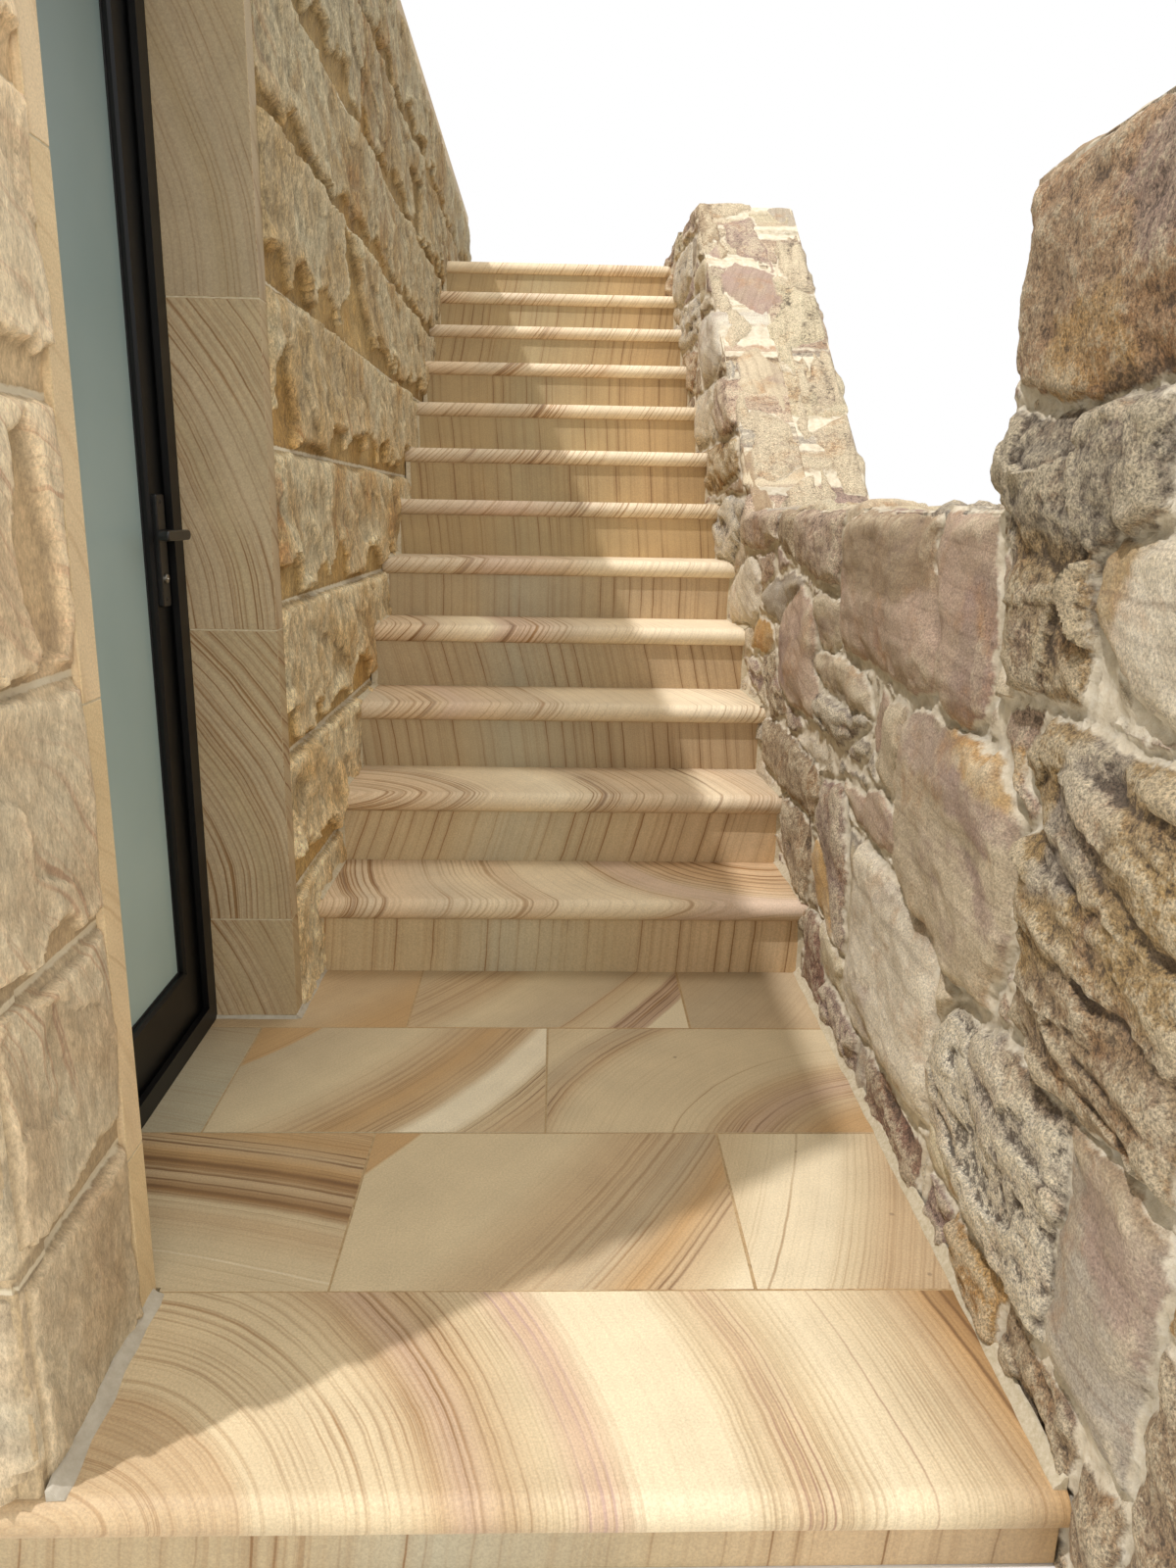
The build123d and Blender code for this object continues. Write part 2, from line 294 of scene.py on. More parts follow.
def facets(x, y, seed):
    """Broken faces of stone: each chip has its own level and tilt, about -0.5 to 0.5."""
    ix, iy = np.floor(x), np.floor(y)
    near = np.full(np.shape(x + y), 9.0)
    level = np.zeros_like(near)
    for ox in (-1, 0, 1):
        for oy in (-1, 0, 1):
            cx, cy = ix + ox, iy + oy
            dx = x - cx - 0.1 - 0.8 * corner_value(cx, cy, seed)
            dy = y - cy - 0.1 - 0.8 * corner_value(cx, cy, seed + 5)
            gap = np.hypot(dx, dy)
            tilt = corner_value(cx, cy, seed + 9) - 0.5
            tilt = tilt + 0.9 * dx * (corner_value(cx, cy, seed + 13) - 0.5)
            tilt = tilt + 0.9 * dy * (corner_value(cx, cy, seed + 21) - 0.5)
            level = np.where(gap < near, tilt, level)
            near = np.minimum(near, gap)
    return level


def chipped(x, y, seed):
    """Flat three-sided chips of broken stone that meet in sharp ridges, -0.5 to 0.5."""
    skew = 0.366 * (x + y)
    ix, iy = np.floor(x + skew), np.floor(y + skew)
    fx, fy = x + skew - ix, y + skew - iy
    big, small = np.maximum(fx, fy), np.minimum(fx, fy)
    right = fx > fy
    middle = corner_value(ix + right, iy + ~right, seed)
    return (corner_value(ix, iy, seed) * (1.0 - big) + middle * (big - small)
            + corner_value(ix + 1, iy + 1, seed) * small - 0.5)


def hollows(height, reach):
    """How far each point lies below its neighbourhood, reach grid points wide."""
    soft = height
    for axis in (0, 1):
        before, after = np.take(soft, [0] * (reach + 1), axis), np.take(soft, [-1] * reach, axis)
        total = np.cumsum(np.concatenate([before, soft, after], axis), axis)
        size, window = soft.shape[axis], 2 * reach + 1
        upper = np.take(total, np.arange(window, window + size), axis)
        soft = (upper - np.take(total, np.arange(size), axis)) / window
    return soft - height


def crevices(height, reach, step, fine_step):
    """How sunk each point lies, close by and further round, and less so on grids coarser than fine_step."""
    return (hollows(height, 2) * 1.4 + hollows(height, reach)) * min(1.0, fine_step / step)


def count_over(length, step):
    """Number of points along a length at about this step."""
    return max(3, int(round(length / step)) + 1)


def flat(value):
    """A level or a face that stays the same all along the wall."""
    return lambda y: np.full_like(y, value)


def rounded(gap, width):
    """0 at an edge and 1 inside it, along a rounded arris of this width."""
    t = np.clip(gap / width, 0.0, 1.0)
    return np.sqrt(1.0 - (1.0 - t) ** 2)


def near_border(u, v, low_u, high_u, low_v, high_v, width):
    """1 inside a panel, falling along a rounded edge to 0 at its border."""
    return rounded(np.minimum(np.minimum(u - low_u, high_u - u), np.minimum(v - low_v, high_v - v)), width)


def panel(base, out, height, depth, fields):
    """A closed block whose front is a grid of points raised by height, with a flat back."""
    out = np.array(out)
    front = base + out * height[..., None]
    rows, columns = height.shape
    start = rows * columns
    number = np.arange(start).reshape(rows, columns)
    ring = np.concatenate([number[:-1, 0], number[-1, :-1], number[:0:-1, -1], number[0, :0:-1]])
    behind = base.reshape(-1, 3)[ring] - depth * out
    points = np.concatenate([front.reshape(-1, 3), behind, behind.mean(axis=0)[None]])
    quads = np.stack([number[:-1, :-1], number[:-1, 1:], number[1:, 1:], number[1:, :-1]], -1).reshape(-1, 4)
    count = len(ring)
    here = np.arange(count)
    then = (here + 1) % count
    rim = np.stack([ring[here], ring[then], start + then, start + here], -1)
    back = np.stack([start + here, start + then, np.full(count, start + count)], -1)
    faces = [quads, rim, back]
    across = np.cross(points[quads[:, 1]] - points[quads[:, 0]], points[quads[:, 3]] - points[quads[:, 0]])
    if np.sum(across * out) < 0.0:
        faces = [part[:, ::-1] for part in faces]
    taken = {}
    for name, values in fields.items():
        values = values.reshape(start, -1)
        taken[name] = np.concatenate([values, values[ring], values[:1]])
    return points, faces, taken


def join_panels(name, panels):
    """One mesh object from several closed blocks, with their surface values as attributes."""
    points, faces, shift = [], [], 0
    for block_points, block_faces, block_fields in panels:
        points.append(block_points)
        for part in block_faces:
            faces.extend((part + shift).tolist())
        shift += len(block_points)
    made = mesh_object(name, np.concatenate(points).tolist(), faces, 62.0, turn_out=False)
    for key in panels[0][2]:
        values = np.concatenate([block_fields[key] for block_points, block_faces, block_fields in panels])
        kind, target = "FLOAT", "value"
        if values.shape[1] == 3:
            kind, target = "FLOAT_COLOR", "color"
            values = np.concatenate([values, np.ones((len(values), 1))], axis=1)
        layer = made.data.attributes.new(key, kind, "POINT")
        layer.data.foreach_set(target, values.ravel().astype(np.float32))
    return made


# Coursed rock-faced wall

BEDS = [-0.20, 0.080, 0.376, 0.676, 0.983, 1.284, 1.582, 1.880, 2.165, 2.476, 2.780]
PERPENDS = {
    0: [-0.75, 0.9, 2.2, 3.6],
    1: [-1.9, 0.35, 1.5, 2.7, 4.0],
    2: [-2.0, 1.05, 2.35, 3.7],
    3: [-1.8, 1.75, 3.2, 4.2],
    4: [-2.1, 1.2, 2.5, 3.9],
    5: [-1.9, 1.95, 3.3, 4.4],
    6: [-2.0, 0.65, 2.2, 3.6],
    7: [-1.7, 1.55, 2.9, 4.1],
    8: [-1.6, -0.62, 0.95, 2.35, 3.8],
    9: [-1.5, -0.35, 1.3, 2.7, 4.2],
}


def arches(y, seed, spacing):
    """Chipped hollows side by side along an edge: how far each arch reaches up, from 0 to 1."""
    place = y / spacing + 0.35 * roll(y / (spacing * 2.3), y * 0.0 + seed, seed)
    cell = np.floor(place)
    reach = corner_value(cell, cell * 0.0, seed)
    lean = corner_value(cell, cell * 0.0 + 3.0, seed) - 0.5
    t = 2.0 * (place - cell) - 1.0
    t = np.clip(t + 0.7 * lean * (1.0 - t * t), -1.0, 1.0)
    bow = np.sqrt(np.clip(1.0 - np.abs(t) ** 2.4, 0.0, 1.0))
    return bow * (0.15 + 0.85 * step_up(0.20, 0.95, reach))


# Long slanting chips that cross a stone, along the wall and up it in metres
SCARS = [
    [(0.60, 1.86), (0.74, 1.872), (1.03, 1.66), (1.00, 1.592), (0.66, 1.592)],
    [(-0.16, 1.44), (-0.05, 1.50), (0.06, 1.33), (-0.02, 1.295), (-0.16, 1.295)],
    [(1.92, 2.36), (2.30, 2.40), (2.26, 2.20), (2.02, 2.18)],
    [(-1.25, 1.25), (-1.20, 1.27), (-1.13, 1.12), (-1.14, 1.0), (-1.22, 1.0)],
]


def coursed_relief(y, z, seed):
    """Height and surface values of rock-faced stones laid in level courses."""
    joint = np.full(y.shape, 9.0)
    height = np.zeros(y.shape)
    scoop = np.zeros(y.shape)
    tone = np.zeros(y.shape)
    scar = np.full(y.shape, -9.0)
    for outline in SCARS:
        corners = np.array(outline)
        close = (y > corners[:, 0].min() - 0.1) & (y < corners[:, 0].max() + 0.1)
        if close.any():
            yw = y[close] + 0.02 * roll(y[close] / 0.08, z[close] / 0.08, seed + 71)
            zw = z[close] + 0.02 * roll(y[close] / 0.08, z[close] / 0.08, seed + 72)
            scar[close] = np.maximum(scar[close], outline_distance(yw, zw, corners * 1000.0))
    for course, (low, high) in enumerate(zip(BEDS, BEDS[1:])):
        inside = (z >= low) & (z < high)
        if high == BEDS[-1]:
            inside = z >= low
        if not inside.any():
            continue
        yy, zz = y[inside], z[inside]
        above, below = zz - low, high - zz
        ends = np.array(PERPENDS[course] + [9.0])
        stone = np.searchsorted(ends, yy)
        side = np.full(yy.shape, 9.0)
        for end in ends:
            side = np.minimum(side, np.abs(yy - end))
        offset = seed + 101 * course
        pick = corner_value(stone.astype(float), np.full(yy.shape, float(course)), offset)
        calm = np.where(yy < NEAR_ROUGH + 0.01, 0.5, 1.0)
        # The broad swell of each face, broken into flakes that overlap downwards
        face = 0.018 + 0.008 * rough(yy / 0.34, zz / 0.20, offset, 2) + 0.006 * (pick - 0.5)
        face = face * (0.4 + 0.6 * calm)
        lean = yy + 0.35 * zz + 0.016 * roll(yy / 0.07, zz / 0.07, offset + 20)
        drop = zz + 0.012 * roll(yy / 0.06, zz / 0.06, offset + 21)
        face += 0.0095 * calm * facets(lean / 0.160, drop / 0.130, offset + 3)
        for depth, long, tall, shift in ((0.0130, 0.070, 0.095, 13), (0.0080, 0.028, 0.046, 23),
                                         (0.0045, 0.014, 0.022, 33)):
            face += depth * calm * chipped(lean / long, drop / tall, offset + shift)
        # The pitched lower margin: arched hollows side by side under a ragged overhanging lip
        arch = np.maximum(arches(yy, offset + 5, 0.26), 0.8 * arches(yy + 0.11, offset + 6, 0.13))
        lip = 0.004 + 0.085 * arch * calm * (0.65 + 0.6 * pick)
        lip = lip + 0.006 * rough(yy / 0.022, zz * 0.0, offset + 7, 3, 0.7)
        lip += (0.030 * arch * calm * chipped(yy / 0.034, yy * 0.0, offset + 15)
                + 0.012 * chipped(yy / 0.014, yy * 0.0, offset + 16))
        lip = np.maximum(lip, 0.003)
        rise = step_up(-0.002, 0.008, above - lip)
        fall = np.clip(above / np.maximum(lip, 0.010), 0.0, 1.0)
        deep = step_up(0.012, 0.060, lip)
        hollow = 0.001 + 0.005 * deep * fall - 0.003 * deep * np.sin(math.pi * fall)
        hollow = hollow + 0.0015 * roll(yy / 0.05, zz / 0.03, offset + 8)
        swell = 1.0 + 0.30 * np.exp(-np.abs(above - lip) / 0.030) * deep
        # The narrow upper margin, the upright joints and the drafted arris at the wall's end
        crown = arches(yy + 0.05, offset + 9, 0.21)
        brow = 0.002 + 0.014 * crown * crown + 0.003 * rough(yy / 0.03, zz * 0.0, offset + 10, 2)
        fade = 1.0 - step_up(0.0, 0.008, below - brow)
        hem = 1.0 - step_up(0.002, 0.012, side + 0.004 * roll(zz / 0.03, yy / 0.3, offset + 11))
        level = hollow * (1.0 - rise) + face * swell * rise
        level = level * (1.0 - 0.85 * fade) + 0.001 * fade
        level = level * (1.0 - 0.85 * hem)
        drafted = 1.0 - step_up(0.020, 0.027, yy - WALL_START)
        level = level * (1.0 - drafted) + 0.004 * drafted
        # Scars cut into the face, and last the joints
        cut = step_up(-0.004, 0.010, scar[inside])
        sunk = -0.004 + 0.25 * (face - 0.019) - 0.12 * np.clip(scar[inside], 0.0, 0.08)
        level = level * (1.0 - cut) + cut * sunk
        gap = np.minimum(np.minimum(above, below), side)
        groove = 1.0 - step_up(0.002, 0.008, gap)
        height[inside] = level * (1.0 - groove) - 0.0015 * groove
        joint[inside] = gap
        smooth = np.maximum(np.maximum(1.0 - rise, 0.5 * fade), np.maximum(cut, drafted))
        scoop[inside] = np.clip(smooth, 0.0, 1.0)
        tone[inside] = pick
    return height, {"joint_gap": joint, "hollow": scoop, "stone_tone": tone}


# Each side of the coursed wall: its plane, how deep its blocks are and the seed of its stones
COURSED_SIDES = {
    "+x": (WALL_FACE, 0.14, 3),
    "-x": (ROUGH_BACK, 0.12, 23),
    "-y": (WALL_START + 0.010, 0.06, 43),
    "+y": (WALL_END - 0.012, 0.06, 63),
}


def coursed_panel(side, low, high, foot, step, step_z, fade_width=0.02, ends=None):
    """A panel of coursed masonry from low to high along one side of the wall, and from its foot line up.

    ends gives where the face is rounded off, where that isn't the panel's own border."""
    plane, depth, seed = COURSED_SIDES[side]
    ny = count_over(high - low, step)
    line = np.linspace(low, high, ny)
    bottom = foot(line)
    nz = count_over(WALL_TOP - bottom.min(), step_z)
    yy = np.repeat(line[:, None], nz, axis=1)
    zz = bottom[:, None] + (WALL_TOP - bottom[:, None]) * np.linspace(0.0, 1.0, nz)[None, :]
    height, fields = coursed_relief(yy, zz, seed)
    fields["crevice"] = crevices(height, 6, step, 0.011)
    if fade_width:
        first, last = ends or (low, high)
        height = height * near_border(yy, zz, first, last, -9.0, 99.0, fade_width)
    flush = np.full_like(yy, plane)
    base = np.stack([flush, yy, zz] if side[1] == "x" else [yy, flush, zz], -1)
    return panel(base, OUTWARD[side], height, depth, fields)


def stair_line(y):
    """Height of the foot of the risers along the flight."""
    return LANDING_TOP + (y - OVERHANG) / GOING * RISE


def build_coursed_wall():
    """The left wall: two faces of rock-faced courses, and rock-faced ends."""
    # The two numbers after each name paint light and shade by height: the golden wall lighter at its foot
    # and darker at its head, the pale wall lighter towards its head
    golden = rock_faced_finish("split_golden_sandstone", 1.32, 0.68, 0.0, 0.70, 34.0, 40.0, 80.0, 1.10)
    pale = rock_faced_finish("split_pale_sandstone", 0.94, 1.62, 0.50, 1.6, 75.0, 16.0, 95.0, 0.60)
    start, end = WALL_START + 0.004, WALL_END - 0.004
    thickness = (ROUGH_BACK, WALL_FACE + 0.004)
    ground, landing, head = flat(0.0), flat(LANDING_TOP), flat(ROUGH_HEAD)
    for name, node, finish, panels in (
        ("near_wall_masonry", "near_wall", pale, [
            ("+x", start, NEAR_ROUGH, landing, 0.0052, 0.0055, 0.012),
            ("-x", start, NEAR_ROUGH, landing, 0.02, 0.02),
            ("-y", *thickness, landing, 0.012, 0.012)]),
        ("far_wall_masonry", "far_wall", golden, [
            ("+x", FAR_ROUGH, WALL_PART, lambda y: np.maximum(0.08, stair_line(y) - 0.08), 0.0085, 0.0088,
             0.0),
            ("-x", FAR_ROUGH, WALL_PART, ground, 0.02, 0.02, 0.02, (FAR_ROUGH, WALL_END))]),
        ("upper_wall_masonry", "far_wall", golden, [
            ("+x", WALL_PART, FLIGHT_END, lambda y: stair_line(y) - 0.10, 0.011, 0.0088, 0.0),
            ("+x", FLIGHT_END, end, ground, 0.016, 0.016, 0.0),
            ("-x", WALL_PART, end, ground, 0.02, 0.02, 0.02, (FAR_ROUGH, end)),
            ("+y", *thickness, ground, 0.014, 0.014)]),
        ("masonry_over_door", "wall_over_door", golden, [
            ("+x", NEAR_ROUGH, FAR_ROUGH, head, 0.009, 0.009, 0.0),
            ("-x", NEAR_ROUGH, FAR_ROUGH, head, 0.02, 0.02)]),
    ):
        masonry = join_panels(name, [coursed_panel(*values) for values in panels])
        settle(masonry, finish, [node])


# Rubble wall

TINTS = {
    "cream": "#cfc09d",
    "pale": "#e6dac0",
    "beige": "#c8b697",
    "grey": "#aca18f",
    "mauve": "#a58b7c",
    "rose": "#bba088",
    "ochre": "#c1985a",
    "gold": "#ac8d5a",
    "orange": "#b38e68",
    "brown": "#a08767",
    "white": "#d3cab6",
    "red": "#8f6854",
    "dun": "#978c79",
}

# Each stone: its outline along the wall and up it in millimetres, its colour, how far
# it stands out in millimetres, the slope of its bedding in degrees, and its broken face
RUBBLE_STONES = [
    ([(-1430, 1575), (-1100, 1582), (-914, 1574), (-912, 1362), (-960, 1328), (-1060, 1305), (-1430, 1302)],
     "orange", 24, 4, "speckled"),
    ([(-1315, 1290), (-1100, 1298), (-1000, 1292), (-914, 1308), (-912, 1205), (-947, 1185), (-980, 1110),
      (-1005, 1000), (-1020, 965), (-1200, 970), (-1210, 1060), (-1200, 1140), (-1315, 1180)], "dun", 30, 10,
     "split"),
    ([(-1450, 1150), (-1260, 1160), (-1210, 1130), (-1205, 1080), (-1250, 1040), (-1310, 1000),
      (-1450, 975)], "pale", 26, 0, "smooth"),
    ([(-1500, 940), (-1130, 950), (-1085, 885), (-1150, 820), (-1095, 790), (-1115, 700), (-1120, 560),
      (-1230, 525), (-1500, 540)], "gold", 32, 8, "layered"),
    ([(-1500, 505), (-1440, 525), (-1310, 520), (-1310, 225), (-1500, 210)], "grey", 26, 3, "smooth"),
    ([(-1305, 520), (-1110, 520), (-940, 480), (-895, 430), (-890, 330), (-920, 270), (-1020, 250),
      (-1120, 220), (-1305, 220)], "pale", 30, 6, "pitted"),
    ([(-1400, 200), (-1200, 200), (-1200, 110), (-1400, 110)], "brown", 18, 0, "layered"),
    ([(-1190, 200), (-1010, 205), (-1010, 110), (-1190, 110)], "ochre", 18, 0, "layered"),
    ([(-1000, 200), (-905, 190), (-900, 110), (-1000, 110)], "mauve", 16, 0, "layered"),
    ([(-1750, 1580), (-1455, 1575), (-1450, 1380), (-1750, 1370)], "beige", 24, 3, "speckled"),
    ([(-1750, 1350), (-1470, 1360), (-1465, 1175), (-1750, 1150)], "rose", 26, -4, "layered"),
    ([(-1750, 1130), (-1475, 1150), (-1470, 960), (-1750, 940)], "cream", 26, 5, "speckled"),
    ([(-1750, 915), (-1525, 925), (-1520, 640), (-1750, 660)], "grey", 28, 0, "smooth"),
    ([(-1750, 635), (-1525, 620), (-1520, 430), (-1750, 410)], "ochre", 26, 6, "speckled"),
    ([(-1750, 390), (-1520, 405), (-1520, 120), (-1750, 120)], "brown", 24, -3, "speckled"),
    ([(-900, 1180), (-700, 1180), (-690, 1120), (-745, 1000), (-750, 920), (-800, 885), (-880, 880),
      (-930, 900), (-945, 960), (-925, 1090)], "rose", 24, 8, "smooth"),
    ([(-680, 1180), (-300, 1185), (-130, 1170), (-105, 1060), (-110, 990), (-190, 905), (-600, 897),
      (-720, 900), (-745, 930), (-738, 1000), (-680, 1100)], "rose", 27, 2, "smooth"),
    ([(-95, 1190), (100, 1215), (285, 1205), (280, 1100), (270, 1060), (100, 1030), (-90, 1035),
      (-105, 1080)], "rose", 28, 4, "speckled"),
    ([(300, 1215), (500, 1235), (500, 1100), (400, 1080), (300, 1060)], "brown", 24, 8, "speckled"),
    ([(510, 1240), (780, 1255), (990, 1220), (1050, 1120), (950, 1080), (700, 1080), (510, 1110)], "rose",
     28, 12, "speckled"),
    ([(970, 1215), (1250, 1225), (1540, 1180), (1560, 1080), (1400, 1030), (1150, 1020), (1060, 1085)],
     "white", 28, 8, "layered"),
    ([(-135, 930), (-110, 1000), (70, 1002), (100, 950), (40, 903), (-60, 897)], "beige", 20, 5, "smooth"),
    ([(80, 970), (230, 1010), (380, 940), (400, 830), (430, 790), (370, 740), (200, 725), (0, 715),
      (-10, 760), (70, 850), (60, 940)], "rose", 30, 20, "smooth"),
    ([(190, 1015), (300, 1040), (520, 1015), (680, 950), (560, 912), (420, 900), (390, 950)], "grey", 22, -6,
     "smooth"),
    ([(500, 850), (560, 900), (700, 890), (790, 800), (600, 800)], "ochre", 20, 16, "smooth"),
    ([(700, 1000), (850, 1060), (1090, 970), (1210, 900), (1050, 840), (780, 870), (720, 900)], "pale", 26,
     22, "smooth"),
    ([(440, 760), (470, 825), (620, 790), (640, 750), (520, 680), (450, 640), (300, 690)], "brown", 22, 30,
     "layered"),
    ([(610, 755), (800, 765), (810, 700), (640, 680)], "mauve", 16, 10, "layered"),
    ([(-395, 815), (-370, 860), (-170, 893), (60, 880), (80, 850), (0, 810), (-340, 800)], "beige", 18, 3,
     "smooth"),
    ([(-380, 795), (0, 795), (40, 770), (-20, 712), (-200, 705), (-330, 770)], "grey", 26, 4, "layered"),
    ([(-410, 765), (-345, 760), (-215, 700), (-340, 705)], "grey", 14, 20, "layered"),
    ([(-510, 850), (-450, 865), (-410, 800), (-440, 745), (-480, 770)], "rose", 16, 50, "smooth"),
    ([(-600, 868), (-520, 860), (-485, 765), (-450, 730), (-560, 700), (-600, 790)], "beige", 20, 60,
     "smooth"),
    ([(-1085, 800), (-1000, 870), (-780, 870), (-640, 870), (-605, 790), (-640, 600), (-750, 560),
      (-920, 515), (-1050, 530), (-1100, 680)], "beige", 34, 3, "smooth"),
    ([(-640, 620), (-570, 680), (-480, 690), (-380, 660), (-250, 650), (-330, 600), (-520, 590)], "rose", 16,
     5, "smooth"),
    ([(-880, 330), (-855, 480), (-830, 530), (-760, 556), (-420, 570), (-350, 470), (-370, 320), (-380, 240),
      (-450, 210), (-700, 235), (-870, 250)], "pale", 26, 2, "smooth"),
    ([(-395, 500), (-390, 560), (-310, 565), (-330, 480)], "grey", 12, 0, "smooth"),
    ([(-250, 640), (-90, 620), (-70, 500), (-150, 450), (-250, 350), (-330, 310), (-340, 350), (-290, 540)],
     "mauve", 26, 40, "speckled"),
    ([(-160, 440), (-50, 480), (-30, 430), (-90, 350), (-260, 300)], "ochre", 18, 25, "smooth"),
    ([(-350, 290), (-240, 290), (-160, 320), (-165, 215), (-340, 215)], "cream", 16, 12, "smooth"),
    ([(-70, 695), (180, 655), (200, 640), (0, 640), (-80, 660)], "pale", 14, -10, "smooth"),
    ([(-10, 630), (300, 645), (540, 630), (520, 510), (300, 500), (0, 500), (-50, 560)], "brown", 26, 4,
     "speckled"),
    ([(0, 480), (150, 490), (260, 480), (250, 320), (0, 300), (-20, 400)], "brown", 24, 10, "speckled"),
    ([(-860, 205), (-560, 205), (-560, 110), (-860, 110)], "red", 18, 0, "layered"),
    ([(-545, 205), (-490, 205), (-490, 110), (-545, 110)], "grey", 14, 0, "smooth"),
    ([(-480, 200), (-210, 200), (-205, 110), (-480, 110)], "mauve", 20, 2, "layered"),
    ([(-200, 205), (-150, 300), (-30, 290), (-15, 110), (-200, 110)], "red", 20, 30, "speckled"),
    ([(1200, 1460), (1320, 1600), (1560, 1620), (1620, 1500), (1500, 1430), (1280, 1420)], "rose", 26, 30,
     "layered"),
    ([(830, 1270), (900, 1370), (1080, 1400), (1120, 1320), (1000, 1250)], "beige", 22, 25, "smooth"),
    ([(1600, 1560), (1700, 1620), (2100, 1600), (2200, 1500), (2000, 1420), (1650, 1430)], "pale", 26, 10,
     "speckled"),
    ([(1120, 1300), (1180, 1400), (1600, 1410), (2000, 1380), (1900, 1270), (1500, 1240)], "gold", 24, 12,
     "layered"),
    ([(1560, 1700), (1720, 1870), (2000, 1880), (2100, 1760), (1950, 1640), (1650, 1640)], "white", 24, 20,
     "smooth"),
    ([(2120, 1790), (2350, 1810), (2600, 1760), (2580, 1660), (2200, 1640)], "orange", 22, 6, "layered"),
    ([(2080, 1860), (2150, 2000), (2600, 2010), (2800, 1950), (2700, 1850), (2300, 1840)], "white", 24, 5,
     "layered"),
    ([(2720, 1870), (2820, 1990), (3250, 1990), (3320, 1880), (3000, 1850)], "grey", 22, 3, "smooth"),
    ([(2380, 2100), (2420, 2240), (2900, 2260), (2980, 2120), (2700, 2040)], "white", 26, 4, "speckled"),
    ([(3000, 2070), (3010, 2250), (3480, 2260), (3480, 2020)], "orange", 24, 6, "layered"),
]

# Parts of those stones with a colour of their own
TINT_PATCHES = [
    ([(-1090, 890), (-800, 890), (-800, 858), (-900, 845), (-1060, 795)], "ochre"),
    ([(-1090, 800), (-880, 838), (-700, 878), (-600, 870), (-600, 790), (-700, 795), (-860, 775),
      (-1000, 740), (-1090, 755)], "mauve"),
    ([(-1100, 640), (-1040, 700), (-900, 730), (-890, 716), (-1020, 670), (-1080, 600)], "mauve"),
    ([(-720, 1200), (-90, 1200), (-100, 1080), (-250, 1035), (-480, 1030), (-700, 1060)], "brown"),
    ([(-1500, 530), (-1370, 540), (-1330, 450), (-1500, 360)], "mauve"),
    ([(-1315, 1180), (-1180, 1140), (-1020, 1170), (-1000, 960), (-1210, 950)], "gold"),
    ([(-1500, 700), (-1250, 690), (-1120, 600), (-1120, 500), (-1500, 500)], "brown"),
    ([(-950, 1130), (-860, 1100), (-830, 900), (-960, 880)], "mauve"),
    ([(230, 900), (420, 880), (440, 740), (300, 730)], "mauve"),
    ([(-430, 470), (-340, 560), (-320, 400), (-400, 300)], "cream"),
    ([(-1450, 1600), (-1250, 1600), (-1160, 1500), (-1250, 1420), (-1450, 1440)], "mauve"),
    ([(-1200, 1420), (-1040, 1400), (-1010, 1300), (-1250, 1290)], "ochre"),
    ([(-1330, 960), (-1250, 965), (-1190, 870), (-1160, 740), (-1250, 760), (-1350, 860)], "grey"),
]


def outline_distance(x, y, outline):
    """Distance inside an outline given in millimetres, negative outside it."""
    corners = np.array(outline, float) / 1000.0
    gap = np.full(x.shape, 9.0)
    inside = np.zeros(x.shape, bool)
    for (ax, ay), (bx, by) in zip(corners, np.roll(corners, -1, axis=0)):
        ex, ey = bx - ax, by - ay
        along = np.clip(((x - ax) * ex + (y - ay) * ey) / (ex * ex + ey * ey), 0.0, 1.0)
        gap = np.minimum(gap, np.hypot(x - ax - along * ex, y - ay - along * ey))
        if ey:
            inside ^= ((ay > y) != (by > y)) & (x < ax + (y - ay) * ex / ey)
    return np.where(inside, gap, -gap)


